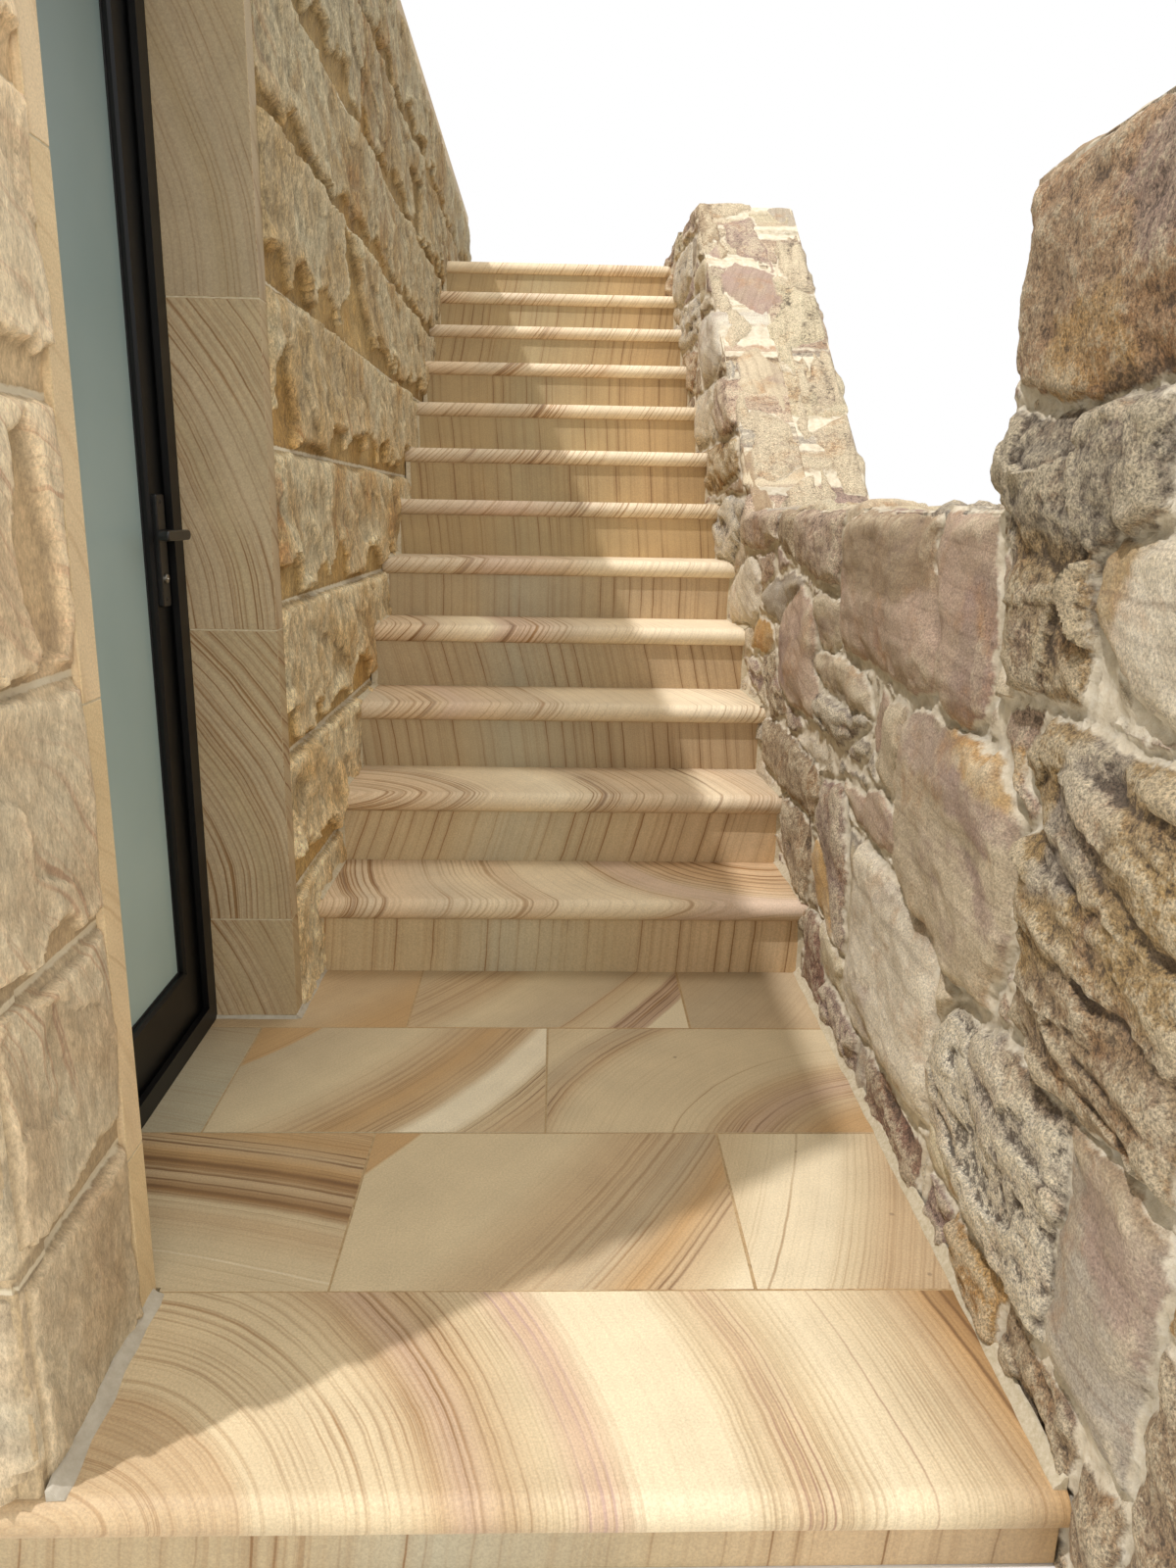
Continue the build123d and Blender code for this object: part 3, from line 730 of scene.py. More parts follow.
def rubble_relief(a, b, laid, seed, size=(0.34, 0.19)):
    """Height and surface values of uneven stones in smeared mortar."""
    wa, wb = (
        line + 0.010 * roll(a / 0.085, b / 0.085, seed + shift)
        + 0.005 * rough(a / 0.028, b / 0.028, seed + shift + 1, 3, 0.6)
        for line, shift in ((a, 0), (b, 2))
    )
    inside = np.full(a.shape, -0.5)
    number = np.full(a.shape, -1, int)
    for index, stone in enumerate(laid):
        corners = np.array(stone[0]) / 1000.0
        low, high = corners.min(axis=0) - 0.05, corners.max(axis=0) + 0.05
        near = (wa > low[0]) & (wa < high[0]) & (wb > low[1]) & (wb < high[1])
        if not near.any():
            continue
        gap = outline_distance(wa[near], wb[near], stone[0]) + 0.004
        better = gap > inside[near]
        spot = np.flatnonzero(near.ravel())[better]
        inside.ravel()[spot] = gap[better]
        number.ravel()[spot] = index
    # Stones between and beyond the listed ones
    mortar_width = 0.010
    row = np.floor(wb / size[1])
    near, second, pick = cells(wa / size[0] + 0.5 * np.mod(row, 2), wb / size[1], seed + 4)
    loose = (second - near) * 0.5 * min(size) - mortar_width * 0.5
    loose = np.minimum(loose, -inside - mortar_width)
    by_hand = (loose <= inside) & (number >= 0)
    inside = np.maximum(loose, inside)
    names, kinds = list(TINTS), ["smooth", "layered", "pitted", "speckled", "split"]
    # One draw to a stone, spread by primes over its tint, swell, lean and face
    quiet = [names.index(name) for name in ("cream", "beige", "grey", "rose", "brown", "mauve", "beige")]
    tint_index = np.array(quiet)[((pick * 7919.0) % 1.0 * len(quiet)).astype(int)]
    bulge = 0.010 + 0.018 * ((pick * 613.0) % 1.0)
    slope = np.radians(-12.0 + 34.0 * ((pick * 331.0) % 1.0))
    kind = ((pick * 97.0) % 1.0 * 4.0).astype(int)
    if laid:
        chosen = np.where(by_hand, number, 0)
        _, tints, bulges, slopes, faces = zip(*laid)
        tint_index = np.where(by_hand, np.array([names.index(tint) for tint in tints])[chosen], tint_index)
        bulge = np.where(by_hand, (np.array(bulges) / 1000.0)[chosen], bulge)
        slope = np.where(by_hand, np.radians(np.array(slopes, float))[chosen], slope)
        kind = np.where(by_hand, np.array([kinds.index(face) for face in faces])[chosen], kind)
        pick = np.where(by_hand, (chosen * 0.618034 + 0.13) % 1.0, pick)
    bed = b * np.cos(slope) - a * np.sin(slope) + pick * 3.1
    along = a * np.cos(slope) + b * np.sin(slope) + pick * 5.3
    bed += 0.008 * rough(a / 0.13, b / 0.13, seed + 6, 2)
    # Swelling stones, sunk joints between them
    body = np.clip(inside, 0.0, 1.0)
    crest = step_up(0.0, 0.016, body)
    height = -0.003 + 0.003 * (1.0 - np.exp(-body / 0.004))
    height += bulge * (0.50 * (1.0 - np.exp(-body / 0.012)) + 0.50 * (1.0 - np.exp(-body / 0.055)))
    height += 0.009 * rough(along / 0.20, bed / 0.13, seed + 7, 2) * crest
    # The broken face of each kind of stone
    bent = along + 0.010 * roll(along / 0.05, bed / 0.05, seed + 8)
    laid_bed = bed + 0.006 * roll(along / 0.05, bed / 0.03, seed + 9)

    def broken(shape, depth, long, tall, shift):
        return depth * shape(bent / long, laid_bed / tall, seed + shift)

    chips = broken(chipped, 0.0075, 0.036, 0.024, 19) + broken(chipped, 0.0035, 0.015, 0.012, 20)
    layered = broken(facets, 0.009, 0.190, 0.045, 10) + broken(chipped, 0.013, 0.120, 0.028, 11)
    layered = layered + 0.9 * chips
    near_pit, _, pit_pick = cells(along / 0.026, bed / 0.032, seed + 16)
    near_pit = near_pit + 0.14 * rough(along / 0.02, bed / 0.02, seed + 16, 2)
    pit = (1.0 - step_up(0.10, 0.34, near_pit)) * (pit_pick > 0.80)
    patch = step_up(-0.05, 0.40, rough(along / 0.16, bed / 0.16, seed + 17, 2))
    pitted = broken(facets, 0.010, 0.200, 0.050, 12) + broken(chipped, 0.010, 0.130, 0.045, 13)
    pitted = pitted + 0.9 * chips - 0.005 * pit * patch
    split = broken(facets, 0.022, 0.160, 0.110, 25) + broken(chipped, 0.016, 0.100, 0.070, 26) + 0.9 * chips
    speckled = broken(chipped, 0.006, 0.110, 0.080, 22) + 0.55 * chips
    smooth = broken(chipped, 0.011, 0.160, 0.090, 23) + 0.34 * chips
    smooth = smooth + 0.0012 * rough(along / 0.03, bed / 0.03, seed + 18, 2)
    height += np.choose(kind, [smooth, layered, pitted, speckled, split]) * crest
    smear = 0.0036 * rough(a / 0.040, b / 0.024, seed + 14, 3, 0.6)
    smear = smear + 0.005 * roll(a / 0.25, b / 0.16, seed + 15)
    height += smear * (1.0 - step_up(-0.003, 0.004, inside))
    colour = np.array([to_linear(TINTS[name])[:3] for name in names])[tint_index]
    for outline, tint in TINT_PATCHES if laid else ():
        reach = outline_distance(wa, wb, outline) + 0.012 * rough(a / 0.05, b / 0.03, seed + 24, 3, 0.6)
        share = 0.85 * step_up(-0.010, 0.012, reach)
        colour = colour + share[..., None] * (np.array(to_linear(TINTS[tint])[:3]) - colour)
    return height, {
        "stone_gap": inside,
        "stone_tone": pick,
        "bedding": bed,
        # pits: where the holes of the pitted stones lie, painted dark later as shade
        "pits": np.where(kind == 2, pit * patch, 0.0) * crest,
        "craggy": np.choose(kind, [0.28, 0.90, 1.0, 0.90, 1.0]) * np.ones(a.shape),
        "stone_tint": colour,
    }


def rubble_top(y):
    """Height of the rubble wall's top edge along the wall, without its roughness."""
    rake = LOW_TOP + (y - RAKE_START) / (RAKE_END - RAKE_START) * (RAKE_TOP - LOW_TOP)
    return np.clip(np.where(y < RAKE_START, LOW_TOP, rake), LOW_TOP, RAKE_TOP)


def right_face(y):
    """X of the rubble wall's face, which closes in on the flight as it climbs."""
    return RIGHT_FACE - RUBBLE_SPLAY * np.maximum(y, 0.0) / FLIGHT_END


# Each long side of the rubble wall: its face, the listed stones and the seed of the others
RUBBLE_SIDES = {"-x": (right_face, RUBBLE_STONES, 7), "+x": (flat(RUBBLE_OUTER), [], 107)}
FINE_RUBBLE = 0.0075


def rubble_panel(side, low, high, foot, top, step, step_z, depth):
    """A panel of rubble on one long side of the wall; its foot and top follow the wall's length."""
    face, laid, seed = RUBBLE_SIDES[side]
    ny = count_over(high - low, step)
    line = np.linspace(low, high, ny)
    bottom_line = foot(line)
    top_line = top(line) + 0.008 * (rough(line / 0.16, line * 0.0 + seed, seed, 3) - 0.7)
    nz = count_over(np.max(top_line - bottom_line), step_z)
    yy = np.repeat(line[:, None], nz, axis=1)
    zz = bottom_line[:, None] + (top_line - bottom_line)[:, None] * np.linspace(0.0, 1.0, nz)[None, :]
    height, fields = rubble_relief(yy, zz, laid, seed)
    fields["crevice"] = crevices(height, 7, step, FINE_RUBBLE)
    below_top = top_line[:, None] - zz
    height = height * rounded(below_top, 0.03) - 0.006 * (1.0 - np.clip(below_top / 0.03, 0.0, 1.0)) ** 3
    base = np.stack([np.repeat(face(line)[:, None], nz, axis=1), yy, zz], -1)
    return panel(base, OUTWARD[side], height, depth, fields)


def rubble_end(side, low_x, low_z, high_z, plane, step, seed):
    """A panel of rubble across the end of the wall."""
    high_x, high_z = RUBBLE_BACK - 0.014, high_z - 0.006
    xx, zz = np.meshgrid(np.linspace(low_x, high_x, count_over(high_x - low_x, step)),
                         np.linspace(low_z, high_z, count_over(high_z - low_z, step)), indexing="ij")
    height, fields = rubble_relief(xx + 7.0, zz, [], seed, size=(0.24, 0.16))
    fields["crevice"] = crevices(height, 6, step, FINE_RUBBLE)
    height = height * near_border(xx, zz, low_x, high_x, -9.0, high_z, 0.03)
    return panel(np.stack([xx, np.full_like(xx, plane), zz], -1), OUTWARD[side], height, 0.06, fields)


def rubble_coping(low, high, level, step, seed):
    """The rough top of the rubble wall; level gives its height along the wall."""
    line = np.linspace(low, high, count_over(high - low, step))
    nx = 26
    t = np.linspace(0.0, 1.0, nx)[None, :]
    inner = right_face(line)[:, None]
    xx = inner + (RUBBLE_OUTER - inner) * t
    yy = np.repeat(line[:, None], nx, axis=1)
    height, fields = rubble_relief(yy + 3.0, xx, [], seed, size=(0.32, 0.19))
    fields["crevice"] = crevices(height, 5, step, FINE_RUBBLE)
    height = height * rounded(np.minimum(t, 1.0 - t) * (RUBBLE_OUTER - inner), 0.03)
    zz = np.repeat(level(line)[:, None], nx, axis=1) - 0.010
    return panel(np.stack([xx, yy, zz], -1), UP, height, 0.05, fields)


def build_rubble_wall():
    """The right wall: pier, low wall and raking wall, with the block on its upper end."""
    finish = rubble_finish()
    ground, pier_top = flat(0.0), flat(PIER_TOP)
    low_x, upper_x = RIGHT_FACE + 0.004, RIGHT_FACE - RUBBLE_SPLAY + 0.004
    start, end = PIER_START + 0.006, FLIGHT_END - 0.004

    def foot(y):
        return np.where(y < OVERHANG, 0.06, stair_line(y) - 0.10)

    for node, panels in (
        ("rubble_pier", [
            rubble_panel("-x", start, PIER_END, ground, pier_top, 0.0055, 0.0058, 0.16),
            rubble_panel("+x", start, PIER_END, ground, pier_top, 0.016, 0.016, 0.15),
            rubble_end("-y", low_x, 0.0, PIER_TOP, PIER_START + 0.014, 0.0085, 207),
            rubble_end("+y", low_x, LOW_TOP - 0.05, PIER_TOP, PIER_END - 0.004, 0.0085, 217),
            rubble_coping(PIER_START + 0.010, PIER_END - 0.003, pier_top, 0.012, 307)]),
        ("rubble_low_wall", [
            rubble_panel("-x", PIER_END, RAKE_START, foot, rubble_top, 0.0060, 0.0060, 0.16),
            rubble_panel("+x", PIER_END, RAKE_START, ground, rubble_top, 0.02, 0.02, 0.15),
            rubble_coping(PIER_END, RAKE_START, rubble_top, 0.012, 317)]),
        ("rubble_raking_wall", [
            rubble_panel("-x", RAKE_START, end, foot, rubble_top, 0.0092, 0.0092, 0.18),
            rubble_panel("+x", RAKE_START, end, ground, rubble_top, 0.022, 0.022, 0.18),
            rubble_end("+y", upper_x, 0.0, RAKE_TOP, FLIGHT_END - 0.014, 0.012, 227),
            rubble_coping(RAKE_START, FLIGHT_END - 0.008, rubble_top, 0.014, 327)]),
    ):
        settle(join_panels(node + "_masonry", panels), finish, [node])
    block = rough_block("end_block_stone", *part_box("rubble_end_block"), 37)
    settle(block, finish, ["rubble_end_block"])


def rough_block(name, low, high, seed):
    """One loose stone with broken faces, made from six panels that share their edges."""
    step, sunk = 0.009, 0.006
    parts = []
    for axis in range(3):
        first, second = [other for other in range(3) if other != axis]
        u, v = np.meshgrid(*(
            np.linspace(low[side], high[side], max(6, int((high[side] - low[side]) / step)))
            for side in (first, second)), indexing="ij")
        for sign in (-1.0, 1.0):
            base = np.zeros(u.shape + (3,))
            base[..., first] = u
            base[..., second] = v
            base[..., axis] = high[axis] - sunk if sign > 0 else low[axis] + sunk
            out = np.zeros(3)
            out[axis] = sign
            height, fields = rubble_relief(u + 11.0, v, [], seed + axis, size=(1.5, 1.5))
            fields["crevice"] = crevices(height, 4, step, step)
            shape = near_border(u, v, low[first], high[first], low[second], high[second], 0.02)
            parts.append(panel(base, out, (height - 0.012) * 0.5 * shape, 0.02, fields))
    return join_panels(name, parts)


# Slabs

def rectangle(x0, x1, y0, y1):
    """Corners of a rectangle in plan."""
    return [(x0, y0), (x1, y0), (x1, y1), (x0, y1)]


def slab_object(name, blocks, finishes, stands_for=(), body="structure"):
    """Sawn slabs, each an outline, a foot, a top and how wide its arrises are; one material to each."""
    work = bmesh.new()
    for index, (outline, low, high, arris) in enumerate(blocks):
        lower = [work.verts.new((x, y, low)) for x, y in outline]
        upper = [work.verts.new((x, y, high)) for x, y in outline]
        faces = [work.faces.new(upper), work.faces.new(lower[::-1])]
        for here in range(len(outline)):
            then = (here + 1) % len(outline)
            faces.append(work.faces.new((lower[here], lower[then], upper[then], upper[here])))
        for face in faces:
            face.material_index = min(index, len(finishes) - 1)
        bmesh.ops.recalc_face_normals(work, faces=faces)
        edges = {edge for face in faces for edge in face.edges}
        bmesh.ops.bevel(work, geom=list(edges), offset=arris, segments=2, profile=0.6, affect="EDGES")
    shape = bpy.data.meshes.new(name)
    work.to_mesh(shape)
    work.free()
    for finish in finishes:
        shape.materials.append(finish)
    settle(link_new(name, shape), None, stands_for, body)


def swept(count, rings):
    """Faces of a closed tube through rings of count corners each, with its two end faces."""
    faces = []
    for ring in range(rings - 1):
        for corner in range(count):
            here, then = ring * count + corner, ring * count + (corner + 1) % count
            faces.append((here, then, then + count, here + count))
    last = (rings - 1) * count
    return faces + [tuple(range(count))[::-1], tuple(range(last, last + count))]


def nosed_slab(name, left_end, right_end, nose, back, top, seed, finish, stands_for):
    """A slab with a fully rounded nose, its ends cut to the walls on either side."""
    radius, arc = SLAB / 2.0, 18
    section = []
    for turn in range(arc + 1):
        angle = math.pi / 2.0 + math.pi * turn / arc
        section.append((nose + radius + radius * math.cos(angle), top - radius + radius * math.sin(angle)))
    behind = nose + radius + 0.003
    section += [(behind, top - SLAB), (back, top - SLAB), (back, top), (behind, top)]
    stations = 41
    points = []
    for station in range(stations):
        share = station / (stations - 1.0)
        for number, (y, z) in enumerate(section):
            x = left_end(y) + (right_end(y) - left_end(y)) * share
            drift = 0.0007 * float(roll(np.array(x / 0.16), np.array(seed * 1.7),
                                        seed)) if number <= arc else 0.0
            points.append((x, y + drift, z))
    slab = mesh_object(name, points, swept(len(section), stations), 35.0)
    settle(slab, finish, [stands_for])


# Sandstone tones, from the palest bed to the darkest iron line
PALE = "#e2d3b4"
CREAM = "#dac9a6"
SAND = "#ccb893"
TAN = "#bfa57f"
FAWN = "#b8a483"
GOLD = "#bc9868"
ROSE = "#bb9f82"
SAGE = "#b1a68a"
OLIVE = "#b39f7b"
RUST = "#8f6a3e"
UMBER = "#72502f"
MAUVE_LINE = "#a98a80"
SOFT_LINE = "#98745a"


def shells(middle, normal, radius):
    """The centre of curved beds that cross the middle square to the normal."""
    length = math.sqrt(sum(part * part for part in normal))
    return [m - radius * part / length for m, part in zip(middle, normal)]


def banded_sandstone(name, centre, start, along, beds, lines=(), metric=(1.0, 1.0, 1.0), seed=0.0,
                     wander=0.014, streak_gap=0.009, tide_gap=0.026, streaks=0.9, tides=1.0,
                     pitted=0.0, tone_and_painted_light=1.0, bleached=0.0):
    """Sawn and honed banded sandstone.

    The beds are shells about a far centre, so they turn direction where they go over a
    slab's nose. Each bed is placed in metres along a line from start, with its tone and
    its share of iron. Iron shows as fine streaks in groups and as thin single lines.
    The grain is drawn at 3 mm, coarser than the real 0.3 mm, so that it shows. The overall
    brightness factor is partly the stone's tone and partly painted light and shade on that part."""
    def depth_at(t):
        return math.sqrt(sum(((s + t * a - c) * m) ** 2 for s, a, c, m in zip(start, along, centre, metric)))

    finish, add, shader = new_finish(name, {"IOR": 1.5})
    place = moved = add("TexCoord", out="Object")
    for scale, detail, roughness, shift, reach in ((3.0, 2.0, 0.45, 0.0, wander * 2.4),
                                                   (24.0, 1.0, 0.5, 5.0, 0.004)):
        drift = add("TexNoise", {"Vector": place, "W": seed + shift, "Scale": scale, "Detail": detail,
                                 "Roughness": roughness}, "Color", noise_dimensions="4D")
        drift = add("VectorMath", [drift, (0.5, 0.5, 0.5)], operation="SUBTRACT")
        moved = add("VectorMath", [drift, (reach,) * 3, moved], operation="MULTIPLY_ADD")
    from_centre = add("VectorMath", [moved, tuple(centre)], operation="SUBTRACT")
    from_centre = add("VectorMath", [from_centre, metric], operation="MULTIPLY")
    depth = add("VectorMath", [from_centre], "Value", operation="LENGTH")
    placed = sorted((depth_at(t), tone, iron) for t, tone, iron in beds)
    low, high = placed[0][0], placed[-1][0]
    share = add("MapRange", [depth, low, high])
    marked = add("ValToRGB", [share], stops=[((v - low) / (high - low), tone) for v, tone, iron in placed])
    if bleached:
        marked = add("Mix", {0: bleached, 6: marked, 7: "#d9cdbb"}, 2, data_type="RGBA")
    iron = add("ValToRGB", [share], stops=[((v - low) / (high - low), iron) for v, tone, iron in placed])
    patch = add("TexNoise", {"Vector": moved, "W": seed + 3.0, "Scale": 4.0, "Detail": 2.0},
                noise_dimensions="4D")
    patch = add("MapRange", [patch, 0.34, 0.60, 0.35])
    iron = add("Math", [iron, patch], operation="MULTIPLY")
    # Fine streaks in groups
    shifted = add("Math", [depth, seed * 3.7], operation="ADD")
    fine = add("TexNoise", {"W": shifted, "Scale": 1.0 / streak_gap, "Detail": 4.0, "Roughness": 0.72},
               noise_dimensions="1D")
    broad = add("TexNoise", {"W": shifted, "Scale": 0.22 / streak_gap, "Detail": 1.0}, noise_dimensions="1D")
    streak = add("Math", [add("MapRange", [fine, 0.46, 0.64, 0.0, streaks]),
                          add("MapRange", [broad, 0.32, 0.62, 0.25])], operation="MULTIPLY")
    # Thin single lines at uneven spacing, each in a faint halo
    tide = add("TexVoronoi", {"W": shifted, "Scale": 1.0 / tide_gap, "Randomness": 1.0},
               voronoi_dimensions="1D")
    thin = add("Math", [add("MapRange", [tide, 0.0006 / tide_gap, 0.0022 / tide_gap, tides, 0.0]),
                        add("MapRange", [tide, 0.0, 0.28, 0.30 * tides, 0.0])], operation="MAXIMUM")
    chosen = add("SeparateColor", [tide.node.outputs["Color"]])
    thin = add("Math", [thin, chosen], operation="MULTIPLY")
    for marks, tone in ((streak, RUST), (thin, "#86643c")):
        marks = add("Math", [marks, iron], operation="MULTIPLY")
        marked = add("Mix", {0: marks, 6: marked, 7: tone}, 2, data_type="RGBA")
    for t, width, tone in lines:
        away = add("Math", [depth, depth_at(t)], operation="SUBTRACT")
        away = add("Math", [away], operation="ABSOLUTE")
        here = add("MapRange", [away, width * 0.25, width, 0.8, 0.0])
        here = add("Math", [here, patch], operation="MULTIPLY")
        marked = add("Mix", {0: here, 6: marked, 7: tone}, 2, data_type="RGBA")
    # Mottle, grain and a few pits
    mottle = add("TexNoise", {"Vector": place, "Scale": 9.0, "Detail": 5.0, "Roughness": 0.6})
    mottle = add("MapRange", [mottle, 0.3, 0.7, 0.92 * tone_and_painted_light, 1.06 * tone_and_painted_light])
    grain = add("TexNoise", {"Vector": place, "Scale": 300.0, "Detail": 2.0, "Roughness": 0.8})
    level = add("Math", [mottle, add("MapRange", [grain, 0.30, 0.70, 0.84, 1.14])], operation="MULTIPLY")
    toned = add("VectorMath", {0: marked, "Scale": level}, operation="SCALE")
    if pitted:
        pits = add("TexVoronoi", {"Vector": place, "Scale": 9.0, "Randomness": 1.0})
        dots = add("MapRange", [pits, 0.025, 0.042, pitted, 0.0])
        toned = add("Mix", {0: dots, 6: toned, 7: "#4f3b2a"}, 2, data_type="RGBA")
    feed(shader, {
        "Base Color": toned,
        "Roughness": add("MapRange", [grain, 0.0, 1.0, 0.55, 0.75]),
        "Normal": add("Bump", {"Height": grain, "Strength": 0.25, "Distance": 0.0006}),
    })
    return finish


def rock_faced_finish(name, painted_light_low, painted_light_high, bleached, iron_share, band_count, flakes, coarseness,
                      roughened):
    """Golden sandstone split with a pitching tool.

    The broken face is pale and granular, with cream, golden and rusty clouds and a few
    curved iron bands; the smooth hollows along the lower margins are deeper ochre, partly
    their own weathered colour and partly painted shade under the lip. Ridges carry a painted
    highlight and crevices painted shade, and painted light changes with height up the wall.
    Joints are pale lime mortar."""
    finish, add, shader = new_finish(name, {"Roughness": 0.9, "IOR": 1.5})
    place = add("TexCoord", out="Object")
    hollow, gap, tone, crevice = (
        add("Attribute", out="Fac", attribute_name=field)
        for field in ("hollow", "joint_gap", "stone_tone", "crevice"))
    cloud = add("TexNoise", {"Vector": place, "W": tone, "Scale": 2.6, "Detail": 4.0, "Roughness": 0.6,
                             "Distortion": 0.8}, noise_dimensions="4D")
    broken = add("ValToRGB", [cloud], stops=[
        (0.26, "#b3986b"), (0.36, "#c5ac81"), (0.45, "#d6c7a2"), (0.52, "#cbb68e"), (0.60, "#c2a778"),
        (0.68, "#b59262"), (0.78, "#a58058")])
    # Curved iron bands through the split stone
    drift = add("TexNoise", {"Vector": place, "Scale": 1.9, "Detail": 2.0}, "Color")
    bent = add("VectorMath", [drift, (0.40, 0.40, 0.40), place], operation="MULTIPLY_ADD")
    ring = add("VectorMath", [bent, (-0.3, -1.9, 0.4)], "Value", operation="DISTANCE")
    iron = add("TexNoise", {"W": ring, "Scale": band_count, "Detail": 4.0, "Roughness": 0.70},
               noise_dimensions="1D")
    few = add("TexNoise", {"Vector": place, "W": tone, "Scale": 1.3, "Detail": 1.0}, noise_dimensions="4D")
    iron = add("Math", [add("MapRange", [iron, 0.52, 0.70, 0.0, iron_share]),
                        add("MapRange", [few, 0.47, 0.62])], operation="MULTIPLY")
    # The smooth hollows: deeper ochre, partly their own weathered colour and partly painted shade under the
    # overhanging lip
    smooth = add("ValToRGB", [cloud], stops=[
        (0.28, "#b2935b"), (0.48, "#c4a56c"), (0.60, "#b99353"), (0.74, "#a57e47")])
    stone = broken
    for share, other in ((iron, "#a4703f"), (hollow, smooth), (bleached, "#cdbba1")):
        stone = add("Mix", {0: share, 6: stone, 7: other}, 2, data_type="RGBA")
    # Painted highlight on the ridges and painted shade in the crevices, following the relief and the bump
    # finer than it, and painted light that changes with height
    grain = add("Mapping", {"Vector": place, "Rotation": (0.38, 0.0, 0.0), "Scale": (1.0, 1.0, 0.42)})
    crag = add("TexNoise", {"Vector": grain, "Scale": coarseness, "Detail": 6.0, "Roughness": 0.78,
                            "Distortion": 0.15})
    fine = add("TexNoise", {"Vector": grain, "Scale": 290.0, "Detail": 3.0, "Roughness": 0.80})
    torn = add("TexNoise", {"Vector": grain, "Scale": 30.0, "Detail": 3.0}, "Color")
    torn = add("VectorMath", [torn, (0.020, 0.020, 0.020), grain], operation="MULTIPLY_ADD")
    flake = add("TexVoronoi", {"Vector": torn, "Scale": flakes, "Randomness": 1.0}, feature="F1")
    # Painted light and shade that change with height up the wall
    above = add("SeparateXYZ", [place], 2)
    # Painted shade where the relief lies sunk and a painted highlight where it stands proud
    shade = add("MapRange", [crevice, -0.0080, 0.0110, 1.16, 0.66])
    for value, low, high, dark, bright in (
        (crag, 0.36, 0.64, 1.0 - 0.32 * roughened, 1.0 + 0.24 * roughened),
        (fine, 0.34, 0.66, 1.0 - 0.38 * roughened, 1.0 + 0.34 * roughened),
        (above, 0.4, 2.4, painted_light_low, painted_light_high),
    ):
        shade = add("Math", [shade, add("MapRange", [value, low, high, dark, bright])], operation="MULTIPLY")
    stone = add("VectorMath", {0: stone, "Scale": shade}, operation="SCALE")
    ragged = add("TexNoise", {"Vector": place, "Scale": 70.0, "Detail": 3.0})
    edge = add("Math", [ragged, 0.006, gap], operation="MULTIPLY_ADD")
    mortar = add("MapRange", [edge, 0.0062, 0.0080, 1.0, 0.0])
    # The smooth hollows keep less of the bump
    keep = add("MapRange", [hollow, 0.0, 1.0, 1.0, 0.4])
    coarse = add("Math", [flake, 1.1, crag], operation="MULTIPLY_ADD")
    coarse, sandy = (add("Math", [height, keep], operation="MULTIPLY") for height in (coarse, fine))
    bump = add("Bump", {"Height": coarse, "Strength": 1.0, "Distance": 0.0055 * roughened})
    feed(shader, {
        "Base Color": add("Mix", {0: mortar, 6: stone, 7: "#d3c5a8"}, 2, data_type="RGBA"),
        "Normal": add("Bump", {"Height": sandy, "Strength": 1.0, "Distance": 0.0020 * roughened,
                               "Normal": bump}),
    })
    return finish


